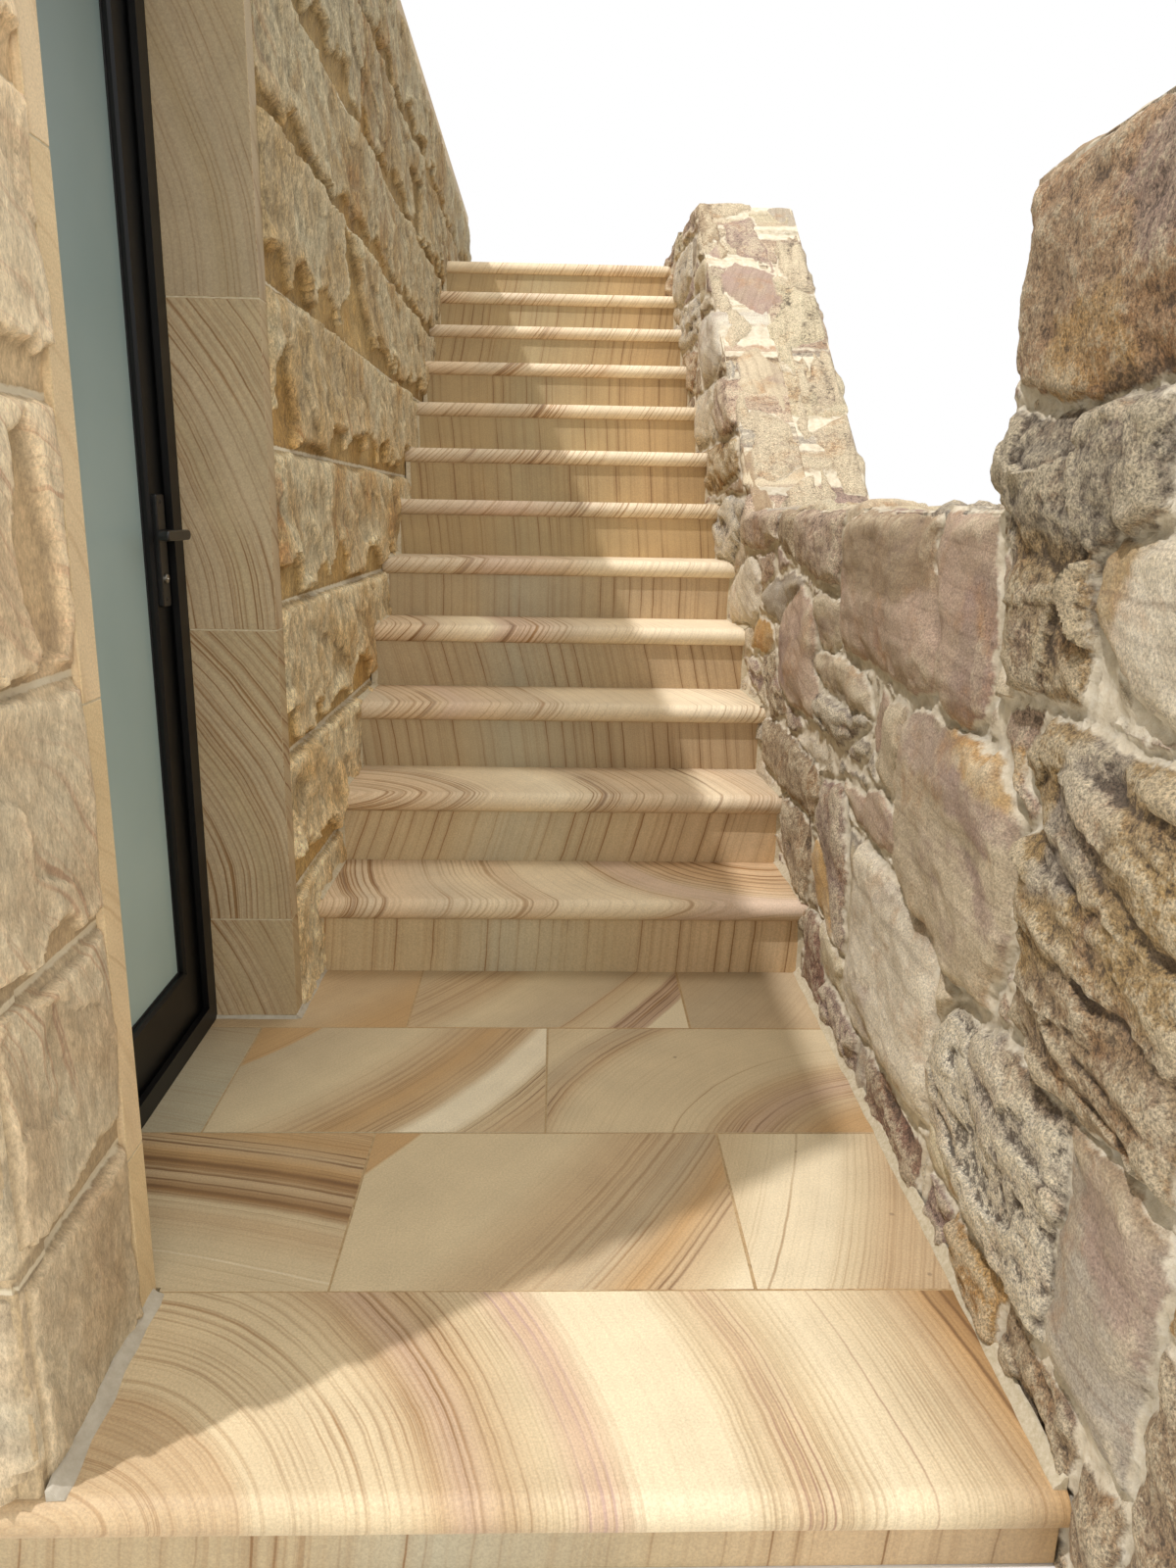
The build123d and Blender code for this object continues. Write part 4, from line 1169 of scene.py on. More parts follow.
def rubble_finish():
    """Gathered field sandstone in wide cream mortar.

    Each stone keeps its own colour under a common grey-brown weathering, with bedding
    streaks and rust; the ridges carry a painted highlight and the crevices and pits painted
    shade. The mortar is sandy, pale and smeared over the stone edges, with painted shade
    where it lies sunk."""
    finish, add, shader = new_finish("field_sandstone_rubble", {"Roughness": 0.92, "IOR": 1.5})
    place = add("TexCoord", out="Object")
    stone = add("Attribute", out="Color", attribute_name="stone_tint")
    tone, bedding, pits, craggy, crevice, gap = (
        add("Attribute", out="Fac", attribute_name=field)
        for field in ("stone_tone", "bedding", "pits", "craggy", "crevice", "stone_gap"))
    cloud = add("TexNoise", {"Vector": place, "W": tone, "Scale": 7.0, "Detail": 5.0, "Roughness": 0.68,
                             "Distortion": 0.5}, "Color", noise_dimensions="4D")
    weather, rusty, purple = add("SeparateColor", [cloud]).node.outputs
    streak = add("TexNoise", {"W": bedding, "Scale": 55.0, "Detail": 4.0, "Roughness": 0.7},
                 noise_dimensions="1D")
    for value, low, high, most, colour in (
        (weather, 0.38, 0.62, 0.50, "#a89679"),
        (rusty, 0.53, 0.68, 0.60, "#a97845"),
        (purple, 0.55, 0.68, 0.50, "#8d7268"),
        (streak, 0.50, 0.70, 0.34, "#745a44"),
    ):
        share = add("MapRange", [value, low, high, 0.0, most])
        stone = add("Mix", {0: share, 6: stone, 7: colour}, 2, data_type="RGBA")
    # Painted highlight on the ridges and painted shade in the crevices, following the relief and the bump
    # finer than it
    crag = add("TexNoise", {"Vector": place, "Scale": 80.0, "Detail": 6.0, "Roughness": 0.80,
                            "Distortion": 0.15})
    fine = add("TexNoise", {"Vector": place, "Scale": 280.0, "Detail": 3.0, "Roughness": 0.80})
    low = add("MapRange", [crag, 0.56, 0.36, -0.005, 0.010])
    low = add("Math", [low, craggy, crevice], operation="MULTIPLY_ADD")
    for factor in (add("MapRange", [gap, 0.0, 0.022, 0.35, 1.0]),
                   add("Math", [craggy, 0.75, 0.40], operation="MULTIPLY_ADD")):
        low = add("Math", [low, factor], operation="MULTIPLY")
    for near, far, most, colour in ((-0.0015, -0.0080, 0.60, "#d6c6a5"), (0.0016, 0.0085, 0.80, "#4e3f31")):
        share = add("MapRange", [low, near, far, 0.0, most])
        stone = add("Mix", {0: share, 6: stone, 7: colour}, 2, data_type="RGBA")
    # Finer painted light and shade that follow the fine bump, stronger on craggy stones
    crumb = add("MapRange", [fine, 0.34, 0.66, -1.0, 1.0])
    contrast = add("Math", [craggy, 0.36, 0.26], operation="MULTIPLY_ADD")
    crumb = add("Math", [crumb, contrast, 1.0], operation="MULTIPLY_ADD")
    stone = add("VectorMath", {0: stone, "Scale": crumb}, operation="SCALE")
    # Painted shade in the pits of the pitted stones
    stone = add("Mix", {0: pits, 6: stone, 7: "#4f3d2e"}, 2, data_type="RGBA")
    # Sandy mortar smeared over the edges of the stones
    sandy = add("TexNoise", {"Vector": place, "Scale": 48.0, "Detail": 6.0, "Roughness": 0.72})
    sandy = add("ValToRGB", [sandy], stops=[(0.30, "#bdae93"), (0.48, "#d3c5a9"), (0.62, "#ded3bb")])
    # Painted shade on the mortar where it lies sunk between the stones
    shadow = add("MapRange", [crevice, 0.004, 0.018, 1.0, 0.78])
    sandy = add("VectorMath", {0: sandy, "Scale": shadow}, operation="SCALE")
    ragged = add("TexNoise", {"Vector": place, "Scale": 34.0, "Detail": 5.0, "Roughness": 0.68})
    edge = add("Math", [ragged, -0.024, gap], operation="MULTIPLY_ADD")
    mortar = add("MapRange", [edge, -0.0090, -0.0040, 1.0, 0.0])
    amount = add("Math", [craggy, 1.10, 0.30], operation="MULTIPLY_ADD")
    amount = add("Mix", {0: mortar, 2: amount, 3: 0.30}, data_type="FLOAT")
    broken = add("Math", [crag, amount], operation="MULTIPLY")
    bump = add("Bump", {"Height": broken, "Strength": 1.0, "Distance": 0.0052})
    feed(shader, {
        "Base Color": add("Mix", {0: mortar, 6: stone, 7: sandy}, 2, data_type="RGBA"),
        "Normal": add("Bump", {"Height": fine, "Strength": 1.0, "Distance": 0.0016, "Normal": bump}),
    })
    return finish


def mortar_finish(name, pale, dark, grit):
    """Trowelled lime mortar or grout: matt, sandy and slightly uneven in colour."""
    finish, add, shader = new_finish(name, {"Roughness": 0.85})
    place = add("TexCoord", out="Object")
    cloud = add("TexNoise", {"Vector": place, "Scale": grit, "Detail": 6.0, "Roughness": 0.7})
    feed(shader, {
        "Base Color": add("ValToRGB", [cloud], stops=[(0.32, dark), (0.66, pale)]),
        "Normal": add("Bump", {"Height": cloud, "Strength": 0.6, "Distance": 0.002}),
    })
    return finish


def powder_coat():
    """Aluminium with a near-black satin powder coat: a faint orange-peel and dust in the grain."""
    finish, add, shader = new_finish("powder_coated_aluminium", {"Specular IOR Level": 0.32})
    place = add("TexCoord", out="Object")
    peel = add("TexNoise", {"Vector": place, "Scale": 700.0, "Detail": 2.0})
    dust = add("TexNoise", {"Vector": place, "Scale": 6.0, "Detail": 5.0, "Roughness": 0.65})
    feed(shader, {
        "Base Color": add("ValToRGB", [dust], stops=[
            (0.35, "#040404"), (0.62, "#060606"), (0.80, "#10100f")]),
        "Roughness": add("MapRange", [dust, 0.0, 1.0, 0.34, 0.50]),
        "Normal": add("Bump", {"Height": peel, "Strength": 0.12, "Distance": 0.0003}),
    })
    return finish


def satin_hardware():
    """Black satin-coated lever, plates and hinges, smoother than the frame."""
    finish, add, shader = new_finish("satin_black_hardware")
    place = add("TexCoord", out="Object")
    wear = add("TexNoise", {"Vector": place, "Scale": 60.0, "Detail": 4.0})
    feed(shader, {
        "Base Color": add("ValToRGB", [wear], stops=[(0.35, "#0c0c0c"), (0.75, "#1b1a19")]),
        "Roughness": add("MapRange", [wear, 0.0, 1.0, 0.24, 0.40]),
    })
    return finish


def frosted_glass():
    """Acid-etched toughened glass, grey-green and nearly opaque, with dried rain splashes and a painted
    reflection low down.
    """
    finish, add, shader = new_finish("acid_etched_glass",
                                     {"Roughness": 0.38, "IOR": 1.5, "Transmission Weight": 0.12})
    place = add("TexCoord", out="Object")
    haze = add("TexNoise", {"Vector": place, "Scale": 2.2, "Detail": 3.0})
    shade = add("ValToRGB", [haze], stops=[(0.3, "#90a6a3"), (0.7, "#a0b3af")])
    tall = add("VectorMath", [place, (1.0, 1.0, 0.55)], operation="MULTIPLY")
    drops = add("TexVoronoi", {"Vector": tall, "Scale": 42.0, "Randomness": 1.0}, feature="F1")
    few = add("SeparateColor", [drops.node.outputs["Color"]])
    height = add("SeparateXYZ", [place], 2)
    spots = add("MapRange", [drops, 0.07, 0.12, 1.0, 0.0])
    for factor in (add("MapRange", [few, 0.72, 0.80, 0.0, 0.7]),
                   add("MapRange", [height, 0.9, 1.5, 1.0, 0.15])):
        spots = add("Math", [spots, factor], operation="MULTIPLY")
    marked = add("Mix", {0: spots, 6: shade, 7: "#c9cdc2"}, 2, data_type="RGBA")
    # Painted reflection: brighter towards the foot, where the lit landing shows in it, darker higher up
    painted_reflection = add("MapRange", [height, 0.5, 2.0, 1.42, 0.62])
    feed(shader, {"Base Color": add("VectorMath", {0: marked, "Scale": painted_reflection}, operation="SCALE")})
    return finish


# The flight

# Each tread: the centre of its beds (x, y from the nose, z from the top), then beds
# and single lines placed in metres across the tread
TREADS = {
    1: ((0.55, 0.46, -0.60),
        [(-0.57, TAN, 0.9), (-0.50, FAWN, 1.0), (-0.45, TAN, 0.8), (-0.42, TAN, 0.2), (-0.33, FAWN, 0.2),
         (-0.22, SAND, 0.5),
         (-0.13, TAN, 0.7), (-0.08, SAND, 0.1), (0.10, SAND, 0.1), (0.14, TAN, 0.6), (0.18, ROSE, 0.2),
         (0.25, ROSE, 0.1),
         (0.28, TAN, 0.6), (0.38, GOLD, 0.9), (0.57, GOLD, 1.0)],
        [(-0.535, 0.004, UMBER), (-0.463, 0.006, UMBER), (-0.325, 0.003, RUST), (-0.165, 0.004, RUST),
         (0.14, 0.003, RUST)]),
    2: ((-0.622, -0.16, 0.50),
        [(-0.57, TAN, 0.9), (-0.42, TAN, 0.9), (-0.33, FAWN, 0.7), (-0.25, SAND, 0.3), (-0.20, SAND, 0.1),
         (-0.06, CREAM, 0.1),
         (0.00, SAND, 0.3), (0.06, FAWN, 0.7), (0.15, TAN, 0.4), (0.30, TAN, 0.2), (0.36, SAND, 0.5),
         (0.46, TAN, 0.8), (0.57, FAWN, 0.7)],
        [(-0.33, 0.005, RUST), (0.06, 0.005, UMBER), (0.10, 0.003, RUST), (0.22, 0.002, RUST),
         (0.37, 0.005, UMBER), (0.47, 0.003, UMBER)]),
    3: ((-1.30, -0.22, 0.90),
        [(-0.57, FAWN, 0.4), (-0.53, FAWN, 0.5), (-0.50, TAN, 0.9), (-0.38, TAN, 0.9), (-0.34, ROSE, 0.2),
         (-0.22, TAN, 0.3),
         (-0.10, FAWN, 0.5), (0.00, SAND, 0.2), (0.25, SAND, 0.1), (0.40, CREAM, 0.2), (0.57, SAND, 0.6)],
        [(-0.50, 0.004, UMBER), (-0.455, 0.004, RUST), (-0.40, 0.006, UMBER), (-0.09, 0.006, RUST)]),
    4: ((-1.40, -0.14, 0.90),
        [(-0.57, TAN, 0.6), (-0.46, TAN, 0.8), (-0.40, FAWN, 0.7), (-0.34, SAND, 0.2), (-0.24, CREAM, 0.1),
         (-0.20, ROSE, 0.2),
         (-0.12, ROSE, 0.6), (0.00, FAWN, 0.4), (0.15, SAND, 0.2), (0.57, CREAM, 0.1)],
        [(-0.44, 0.005, UMBER), (-0.40, 0.003, RUST), (-0.175, 0.007, UMBER), (-0.10, 0.006, RUST)]),
    5: ((-1.50, -0.20, 1.10),
        [(-0.57, FAWN, 0.6), (-0.35, FAWN, 0.6), (-0.25, ROSE, 0.6), (0.00, TAN, 0.6), (0.08, SAND, 0.2),
         (0.57, CREAM, 0.4)],
        [(-0.32, 0.005, UMBER), (-0.27, 0.004, RUST), (0.00, 0.005, UMBER)]),
    6: ((-1.40, -0.20, 1.10),
        [(-0.57, FAWN, 0.5), (-0.20, ROSE, 0.4), (0.05, FAWN, 0.5), (0.20, SAND, 0.5), (0.57, SAND, 0.8)],
        [(-0.34, 0.005, UMBER), (-0.27, 0.004, RUST), (0.03, 0.006, UMBER), (0.06, 0.004, UMBER)]),
    7: ((-1.40, -0.20, 1.10),
        [(-0.57, FAWN, 0.5), (-0.20, FAWN, 0.4), (-0.10, TAN, 0.9), (0.00, SAND, 0.6), (0.57, CREAM, 0.6)],
        [(-0.36, 0.005, UMBER), (-0.12, 0.005, UMBER), (-0.08, 0.004, UMBER), (-0.05, 0.004, RUST)]),
    8: ((-1.50, -0.20, 1.10),
        [(-0.57, FAWN, 0.5), (-0.37, TAN, 0.6), (-0.20, FAWN, 0.3), (-0.10, TAN, 0.9), (0.05, SAND, 0.4),
         (0.57, SAND, 0.5)],
        [(-0.37, 0.006, UMBER), (-0.11, 0.006, UMBER), (-0.08, 0.004, RUST)]),
    9: ((-1.00, -0.20, 0.95),
        [(-0.57, TAN, 0.6), (-0.44, TAN, 0.7), (-0.32, FAWN, 0.4), (-0.22, TAN, 1.0), (-0.15, SAND, 0.2),
         (0.14, TAN, 0.7), (0.25, CREAM, 0.3), (0.57, SAND, 0.6)],
        [(-0.46, 0.005, UMBER), (-0.26, 0.005, UMBER), (-0.235, 0.004, UMBER), (-0.21, 0.003, RUST),
         (0.14, 0.004, RUST)]),
    10: ((-1.50, -0.20, 1.10),
         [(-0.57, FAWN, 0.5), (-0.34, TAN, 0.7), (-0.22, SAND, 0.2), (-0.08, TAN, 0.9), (0.05, SAND, 0.3),
          (0.57, CREAM, 0.5)],
         [(-0.36, 0.004, RUST), (-0.10, 0.005, UMBER), (-0.07, 0.004, UMBER)]),
    11: ((-1.50, -0.20, 1.10),
         [(-0.57, TAN, 0.8), (-0.50, TAN, 0.8), (-0.40, SAND, 0.3), (-0.20, FAWN, 0.5), (0.10, SAND, 0.3),
          (0.57, CREAM, 0.4)],
         [(-0.53, 0.005, UMBER), (-0.20, 0.004, RUST), (0.20, 0.003, RUST)]),
    12: ((-1.60, -0.15, 0.90),
         [(-0.57, SAND, 0.3), (-0.25, SAND, 0.3), (0.00, SAND, 0.4), (0.25, TAN, 0.7), (0.57, CREAM, 0.6)],
         [(-0.02, 0.004, RUST), (0.25, 0.004, UMBER), (0.33, 0.004, RUST)]),
}

RISER_TONES = (OLIVE, SAGE, TAN, GOLD)
WARM_TONES = ("#b29a6e", "#b09e76", "#bd9f70", "#b9935c")
RISER_LEANS = [0.10, 0.32, -0.10, -0.22, 0.04, -0.06, -0.04, -0.05, 0.02, 0.20, 0.16, 0.24]


def riser_finish(name, face, foot, lean, seed, tone_and_painted_light=1.0, tones=RISER_TONES):
    """Riser slabs sawn across the beds: thin upright iron lines 60 to 70 mm apart."""
    olive, sage, tan, gold = tones
    return banded_sandstone(
        name, shells((0.0, face, foot), (1.0, 0.0, -lean), 3.0), (0.0, face, foot + 0.06), ACROSS,
        [(-0.60, olive, 0.9), (-0.30, olive, 1.0), (-0.15, sage, 0.8), (0.10, olive, 0.9), (0.30, tan, 0.9),
         (0.50, tan, 1.0), (0.60, gold, 1.0)],
        seed=seed, wander=0.005, streak_gap=0.014, tide_gap=0.042, streaks=0.50, tides=1.9, tone_and_painted_light=tone_and_painted_light)


def build_flight():
    """Twelve nosed treads and the riser slabs between them."""
    blocks, finishes = [], []
    tucked_left, tucked_right = LEFT_FACE - 0.008, 0.004
    for number in range(1, STEP_COUNT + 1):
        node = "tread_%02d" % number
        low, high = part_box(node)
        (x, y, z), beds, lines = TREADS[number]
        # Treads are lightened overall, partly in tone and partly with painted light on their sky-facing tops
        finish = banded_sandstone(
            "honed_tread_sandstone_%02d" % number, (x, low[1] + y, high[2] + z),
            (0.0, low[1] + 0.15, high[2]), ACROSS,
            beds, lines, seed=number * 1.31, tone_and_painted_light=1.18, bleached=0.20, streak_gap=0.008, tide_gap=0.014,
            streaks=1.5, tides=2.0, wander=0.010)
        nosed_slab("nosed_" + node, lambda y: tucked_left,
                   lambda y: float(right_face(np.array(y))) + tucked_right,
                   low[1], high[1], high[2], number, finish, node)
    for number in range(1, STEP_COUNT + 1):
        face, foot = (number - 1) * GOING + OVERHANG, LANDING_TOP + (number - 1) * RISE
        right = float(right_face(np.array(face))) + tucked_right
        blocks.append((rectangle(tucked_left, right, face, face + 0.030), foot, foot + RISE - SLAB, 0.0008))
        # The two lowest risers are lightened and the rest darkened, partly in tone and partly with painted
        # light and shade
        finishes.append(riser_finish(
            "honed_riser_sandstone_%02d" % number, face, foot, RISER_LEANS[number - 1], 3.0 + number * 0.7,
            1.18 if number < 3 else 0.95, RISER_TONES if number < 6 else WARM_TONES))
    slab_object("riser_slabs", blocks, finishes, ["risers"])


# The landing

# Each flag: its outline, the centre of its beds, the line its beds are placed on, the
# beds, the single lines, and how many dark pits it has
FLAGS = {
    "flags_row_1": [
        ([(-0.740, -0.2685), (-0.3325, -0.2685), (-0.3325, 0.052), (-0.5655, 0.052), (-0.5655, -0.2295),
          (-0.740, -0.2295)],
         shells((-0.45, -0.11, 0.11), (0.80, -0.60, 0.05), 2.5), (0.0, -0.11, 0.11), ACROSS,
         [(-0.75, TAN, 0.1), (-0.55, TAN, 0.2), (-0.45, TAN, 0.1), (-0.30, GOLD, 0.2)], [], 0.0),
        (rectangle(-0.3295, 0.268, -0.2685, 0.052),
         shells((0.0, -0.11, 0.11), (0.84, -0.54, 0.05), 2.5), (0.0, -0.11, 0.11), ACROSS,
         [(-0.42, FAWN, 0.1), (-0.27, TAN, 0.6), (-0.18, TAN, 0.4), (-0.12, SAND, 0.1), (0.09, FAWN, 0.1),
          (0.10, TAN, 0.2),
          (0.19, SAND, 0.2), (0.20, ROSE, 1.0), (0.268, ROSE, 1.0), (0.275, CREAM, 0.0), (0.40, CREAM, 0.0)],
         [(0.099, 0.002, RUST), (0.206, 0.003, UMBER), (0.223, 0.002, UMBER), (0.241, 0.003, UMBER),
          (0.260, 0.002, UMBER)], 0.0),
        (rectangle(0.271, 0.566, -0.2685, 0.052),
         shells((0.4, -0.11, 0.11), (0.84, -0.54, 0.05), 2.5), (0.0, -0.11, 0.11), ACROSS,
         [(0.15, TAN, 0.1), (0.35, FAWN, 0.1), (0.70, TAN, 0.2)], [], 0.8),
    ],
    "flags_row_2": [
        (rectangle(-0.740, -0.6345, -0.6685, -0.2715),
         shells((-0.69, -0.47, 0.11), (0.27, 0.96, 0.05), 1.2), (-0.69, 0.0, 0.11), ALONG,
         [(-0.70, SAGE, 0.3), (-0.50, SAGE, 0.4), (-0.25, FAWN, 0.3)], [], 0.0),
        (rectangle(-0.6315, -0.0345, -0.6685, -0.2715),
         shells((-0.2, -0.47, 0.11), (0.85, -0.53, 0.05), 1.4), (0.0, -0.47, 0.11), ACROSS,
         [(-0.78, GOLD, 0.3), (-0.664, GOLD, 0.3), (-0.658, FAWN, 0.1), (-0.42, SAND, 0.1),
          (-0.33, TAN, 0.5), (-0.25, GOLD, 0.8),
          (-0.165, TAN, 0.7), (-0.14, PALE, 0.0), (-0.075, PALE, 0.1), (-0.05, SAND, 0.7), (0.00, TAN, 0.9),
          (0.05, TAN, 0.2), (0.15, SAND, 0.1)],
         [(-0.045, 0.002, UMBER), (-0.015, 0.002, UMBER)], 0.0),
        (rectangle(-0.0315, 0.566, -0.6685, -0.2715),
         [0.64, -0.83, 0.11], (0.64, -0.83, 0.11), (-0.7071, 0.7071, 0.0),
         [(0.05, GOLD, 0.3), (0.24, GOLD, 0.4), (0.29, TAN, 0.9), (0.34, ROSE, 1.0), (0.40, TAN, 0.9),
          (0.44, SAND, 0.2),
          (0.60, SAND, 0.1), (0.67, SAND, 0.2), (0.70, TAN, 0.8), (0.75, FAWN, 0.8), (0.79, SAND, 0.2),
          (0.95, TAN, 0.2)],
         [(0.315, 0.002, UMBER), (0.342, 0.003, UMBER), (0.368, 0.002, UMBER), (0.475, 0.002, RUST),
          (0.715, 0.003, UMBER)], 0.5),
    ],
    "flags_row_3": [
        ([(-0.740, -1.0605), (-0.5655, -1.0605), (-0.5655, -1.0685), (-0.3325, -1.0685), (-0.3325, -0.6715),
          (-0.740, -0.6715)],
         shells((-0.50, -0.87, 0.11), (0.23, 0.97, 0.05), 3.0), (-0.45, 0.0, 0.11), ALONG,
         [(-1.15, SAND, 0.1), (-1.00, SAND, 0.3), (-0.93, TAN, 0.5), (-0.90, SAND, 0.7), (-0.875, RUST, 1.0),
          (-0.83, TAN, 0.9),
          (-0.80, RUST, 1.0), (-0.77, GOLD, 0.9), (-0.74, TAN, 0.9), (-0.70, GOLD, 0.8), (-0.60, TAN, 0.7)],
         [(-0.870, 0.006, UMBER), (-0.850, 0.003, UMBER), (-0.825, 0.003, UMBER), (-0.795, 0.008, UMBER),
          (-0.745, 0.004, UMBER),
          (-0.720, 0.003, UMBER), (-1.020, 0.003, PALE)], 0.0),
        (rectangle(-0.3295, 0.268, -1.0685, -0.6715),
         shells((0.0, -0.87, 0.11), (0.85, -0.53, 0.05), 2.5), (0.0, -0.87, 0.11), ACROSS,
         [(-0.50, GOLD, 0.4), (-0.384, GOLD, 0.4), (-0.378, SAND, 0.1), (-0.10, SAND, 0.1), (0.00, TAN, 0.4),
          (0.05, TAN, 0.8),
          (0.15, FAWN, 0.7), (0.22, GOLD, 0.8), (0.262, TAN, 0.9), (0.275, TAN, 0.3), (0.33, SAND, 0.1),
          (0.36, CREAM, 0.0), (0.42, CREAM, 0.0)],
         [(0.040, 0.002, RUST), (0.255, 0.002, UMBER), (0.270, 0.003, UMBER)], 0.0),
        (rectangle(0.271, 0.566, -1.0685, -0.6715),
         shells((0.4, -0.87, 0.11), (0.957, -0.289, 0.05), 2.5), (0.0, -0.87, 0.11), ACROSS,
         [(0.15, TAN, 0.2), (0.27, SAND, 0.3), (0.33, CREAM, 0.2), (0.42, CREAM, 0.1), (0.47, SAND, 0.5),
          (0.52, TAN, 0.7), (0.70, TAN, 0.6)],
         [(0.360, 0.003, RUST)], 0.4),
    ],
}


def build_landing():
    """Flags in three rows with grout between them, the nosed front slab and its riser."""
    seed = 4.0
    for node, flags in FLAGS.items():
        blocks, finishes = [], []
        for number, (outline, centre, start, along, beds, lines, pits) in enumerate(flags):
            seed += 1.7
            # Flags are darkened a little, partly in tone and partly with painted shade
            finishes.append(banded_sandstone(
                "honed_%s_sandstone_%d" % (node, number + 1), centre, start, along, beds, lines, seed=seed,
                streak_gap=0.0062, tide_gap=0.015, streaks=1.1, wander=0.007, pitted=pits, tone_and_painted_light=0.94))
            blocks.append((outline, LANDING_TOP - SLAB, LANDING_TOP, 0.0010))
        slab_object(node + "_slabs", blocks, finishes, [node])
    node = "landing_front_slab"
    low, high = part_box(node)
    finish = banded_sandstone(
        "honed_front_slab_sandstone", (-0.60, -1.70, 0.11), (0.0, -1.257, 0.11), ACROSS,
        [(-0.57, TAN, 0.6), (-0.50, SAND, 0.6), (-0.36, SAND, 0.5), (-0.25, SAND, 0.7), (-0.20, TAN, 1.0),
         (-0.16, ROSE, 1.4), (-0.11, TAN, 1.3), (-0.05, SAND, 0.6), (-0.01, "#c9ad8f", 0.8),
         (0.01, "#c9ad8f", 0.8),
         (0.05, CREAM, 0.4), (0.07, CREAM, 0.1), (0.16, CREAM, 0.1), (0.20, SAND, 0.7),
         (0.24, "#c9b08c", 0.9),
         (0.29, SAND, 0.8), (0.34, CREAM, 0.3), (0.45, SAND, 0.5), (0.50, TAN, 0.8), (0.54, GOLD, 1.0),
         (0.58, RUST, 1.0)],
        [(-0.30, 0.002, RUST), (-0.145, 0.002, RUST), (-0.018, 0.002, MAUVE_LINE),
         (0.000, 0.003, MAUVE_LINE),
         (0.013, 0.002, MAUVE_LINE), (0.235, 0.002, SOFT_LINE), (0.250, 0.002, SOFT_LINE),
         (0.265, 0.002, SOFT_LINE),
         (0.385, 0.002, SOFT_LINE), (0.545, 0.004, UMBER), (0.570, 0.004, UMBER)],
        metric=(1.0, 0.7071, 0.5), seed=7.0, streak_gap=0.0052, tide_gap=0.015, streaks=1.0, tides=0.8,
        wander=0.012, tone_and_painted_light=0.99)
    nosed_slab("nosed_front_slab", lambda y: WALL_BACK, lambda y: FLAG_EDGE, low[1], high[1], high[2], 77,
               finish, node)
    node = "landing_front_riser"
    (x0, y0, z0), (x1, y1, z1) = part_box(node)
    finish = riser_finish("honed_front_riser_sandstone", y0, z0, 0.12, 9.0)
    slab_object("front_riser_slab", [(rectangle(x0, x1, y0, y1), z0, z1, 0.0008)], [finish],
                [node])


# Doorway and coping

NEAR_JOINTS = (0.344, 0.945, 1.542)
FAR_JOINTS = (0.333, 0.936, 1.540, 2.143)
COPING_JOINTS = (-0.55, 0.42, 1.38, 2.35, 3.30)


def build_doorway():
    """Sawn lining stones, and the finishes of the door and its furniture."""
    metal, hardware, glass = powder_coat(), satin_hardware(), frosted_glass()
    for finish, nodes in (
        (metal, ("door_frame", "door_leaf")),
        (hardware, ("door_lever", "lock_plate_outside", "lock_plate_inside", "hinges_frame_half",
                    "hinges_leaf_half")),
        (glass, ("door_glass",)),
    ):
        for node in nodes:
            dress(node, finish)
    build_door_details(hardware)
    arris, head = 0.0012, 2.210
    # The last column brightens or darkens each lining stone, partly in tone and partly with painted light
    # and shade: the near lining lighter, the far lining darker at its top
    for node, y0, joints, shares, tones_and_painted_light in (
        ("near_lining", NEAR_ROUGH, (LANDING_TOP, *NEAR_JOINTS, head), (0.3, 0.2, 0.3, 0.2),
         (1.50, 1.50, 1.50, 1.50)),
        ("far_lining", FAR_ROUGH - SLAB, (0.0, *FAR_JOINTS, head), (0.9, 1.0, 0.85, 0.35, 0.3),
         (1.0, 1.0, 0.98, 0.84, 0.84)),
    ):
        blocks, finishes = [], []
        for index, (foot, top) in enumerate(zip(joints, joints[1:])):
            share, middle = shares[index], (foot + top) / 2.0
            blocks.append((rectangle(LINING_EDGE, LEFT_FACE, y0, y0 + SLAB), foot + arris, top - arris,
                           arris))
            finishes.append(banded_sandstone(
                "sawn_%s_sandstone_%d" % (node, index + 1),
                (-1.20 - 0.12 * index, y0 - 0.2, foot - 0.02), (-0.655, y0, 0.0), UP,
                [(foot - 0.02, FAWN, share), (middle - 0.10, OLIVE, 0.9 * share),
                 (middle + 0.05, FAWN, share),
                 (top, OLIVE, 0.8 * share)],
                seed=index * 3.3 + 1.0, streak_gap=0.008, tide_gap=0.013, streaks=0.9, tides=1.6,
                wander=0.018,
                tone_and_painted_light=tones_and_painted_light[index]))
        slab_object(node + "_stones", blocks, finishes, [node])
    for name, node, box, x_line in (
        ("head_lining_stone", "head_lining", ((LINING_EDGE, NEAR_ROUGH, 2.2115),
                                              (LEFT_FACE, FAR_ROUGH, ROUGH_HEAD)), -0.65),
        ("threshold_stone", "door_threshold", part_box("door_threshold"), -0.80),
    ):
        (x0, y0, z0), (x1, y1, z1) = box
        finish = banded_sandstone(
            "sawn_%s_sandstone" % node, (x_line - 0.4, y0 - 1.5, z0), (x_line, 0.0, z1), ALONG,
            [(y0 - 0.1, FAWN, 0.6), ((y0 + y1) / 2.0, SAND, 0.6), (y1 + 0.1, FAWN, 0.6)], seed=z0 + 2.0)
        slab_object(name, [(rectangle(x0, x1, y0, y1), z0, z1, arris)], [finish], [node])


def turned(name, centre, side, rings, finish):
    """A turned part on the door: rings of radius and height out from its face, closed at both ends."""
    x, y, z = centre
    count = 28
    points = []
    for radius, rise in rings:
        for step in range(count):
            angle = 2.0 * math.pi * step / count
            points.append((x + rise * side, y + radius * math.cos(angle), z + radius * math.sin(angle)))
    settle(mesh_object(name, points, swept(count, len(rings)), 40.0), finish, body="door")


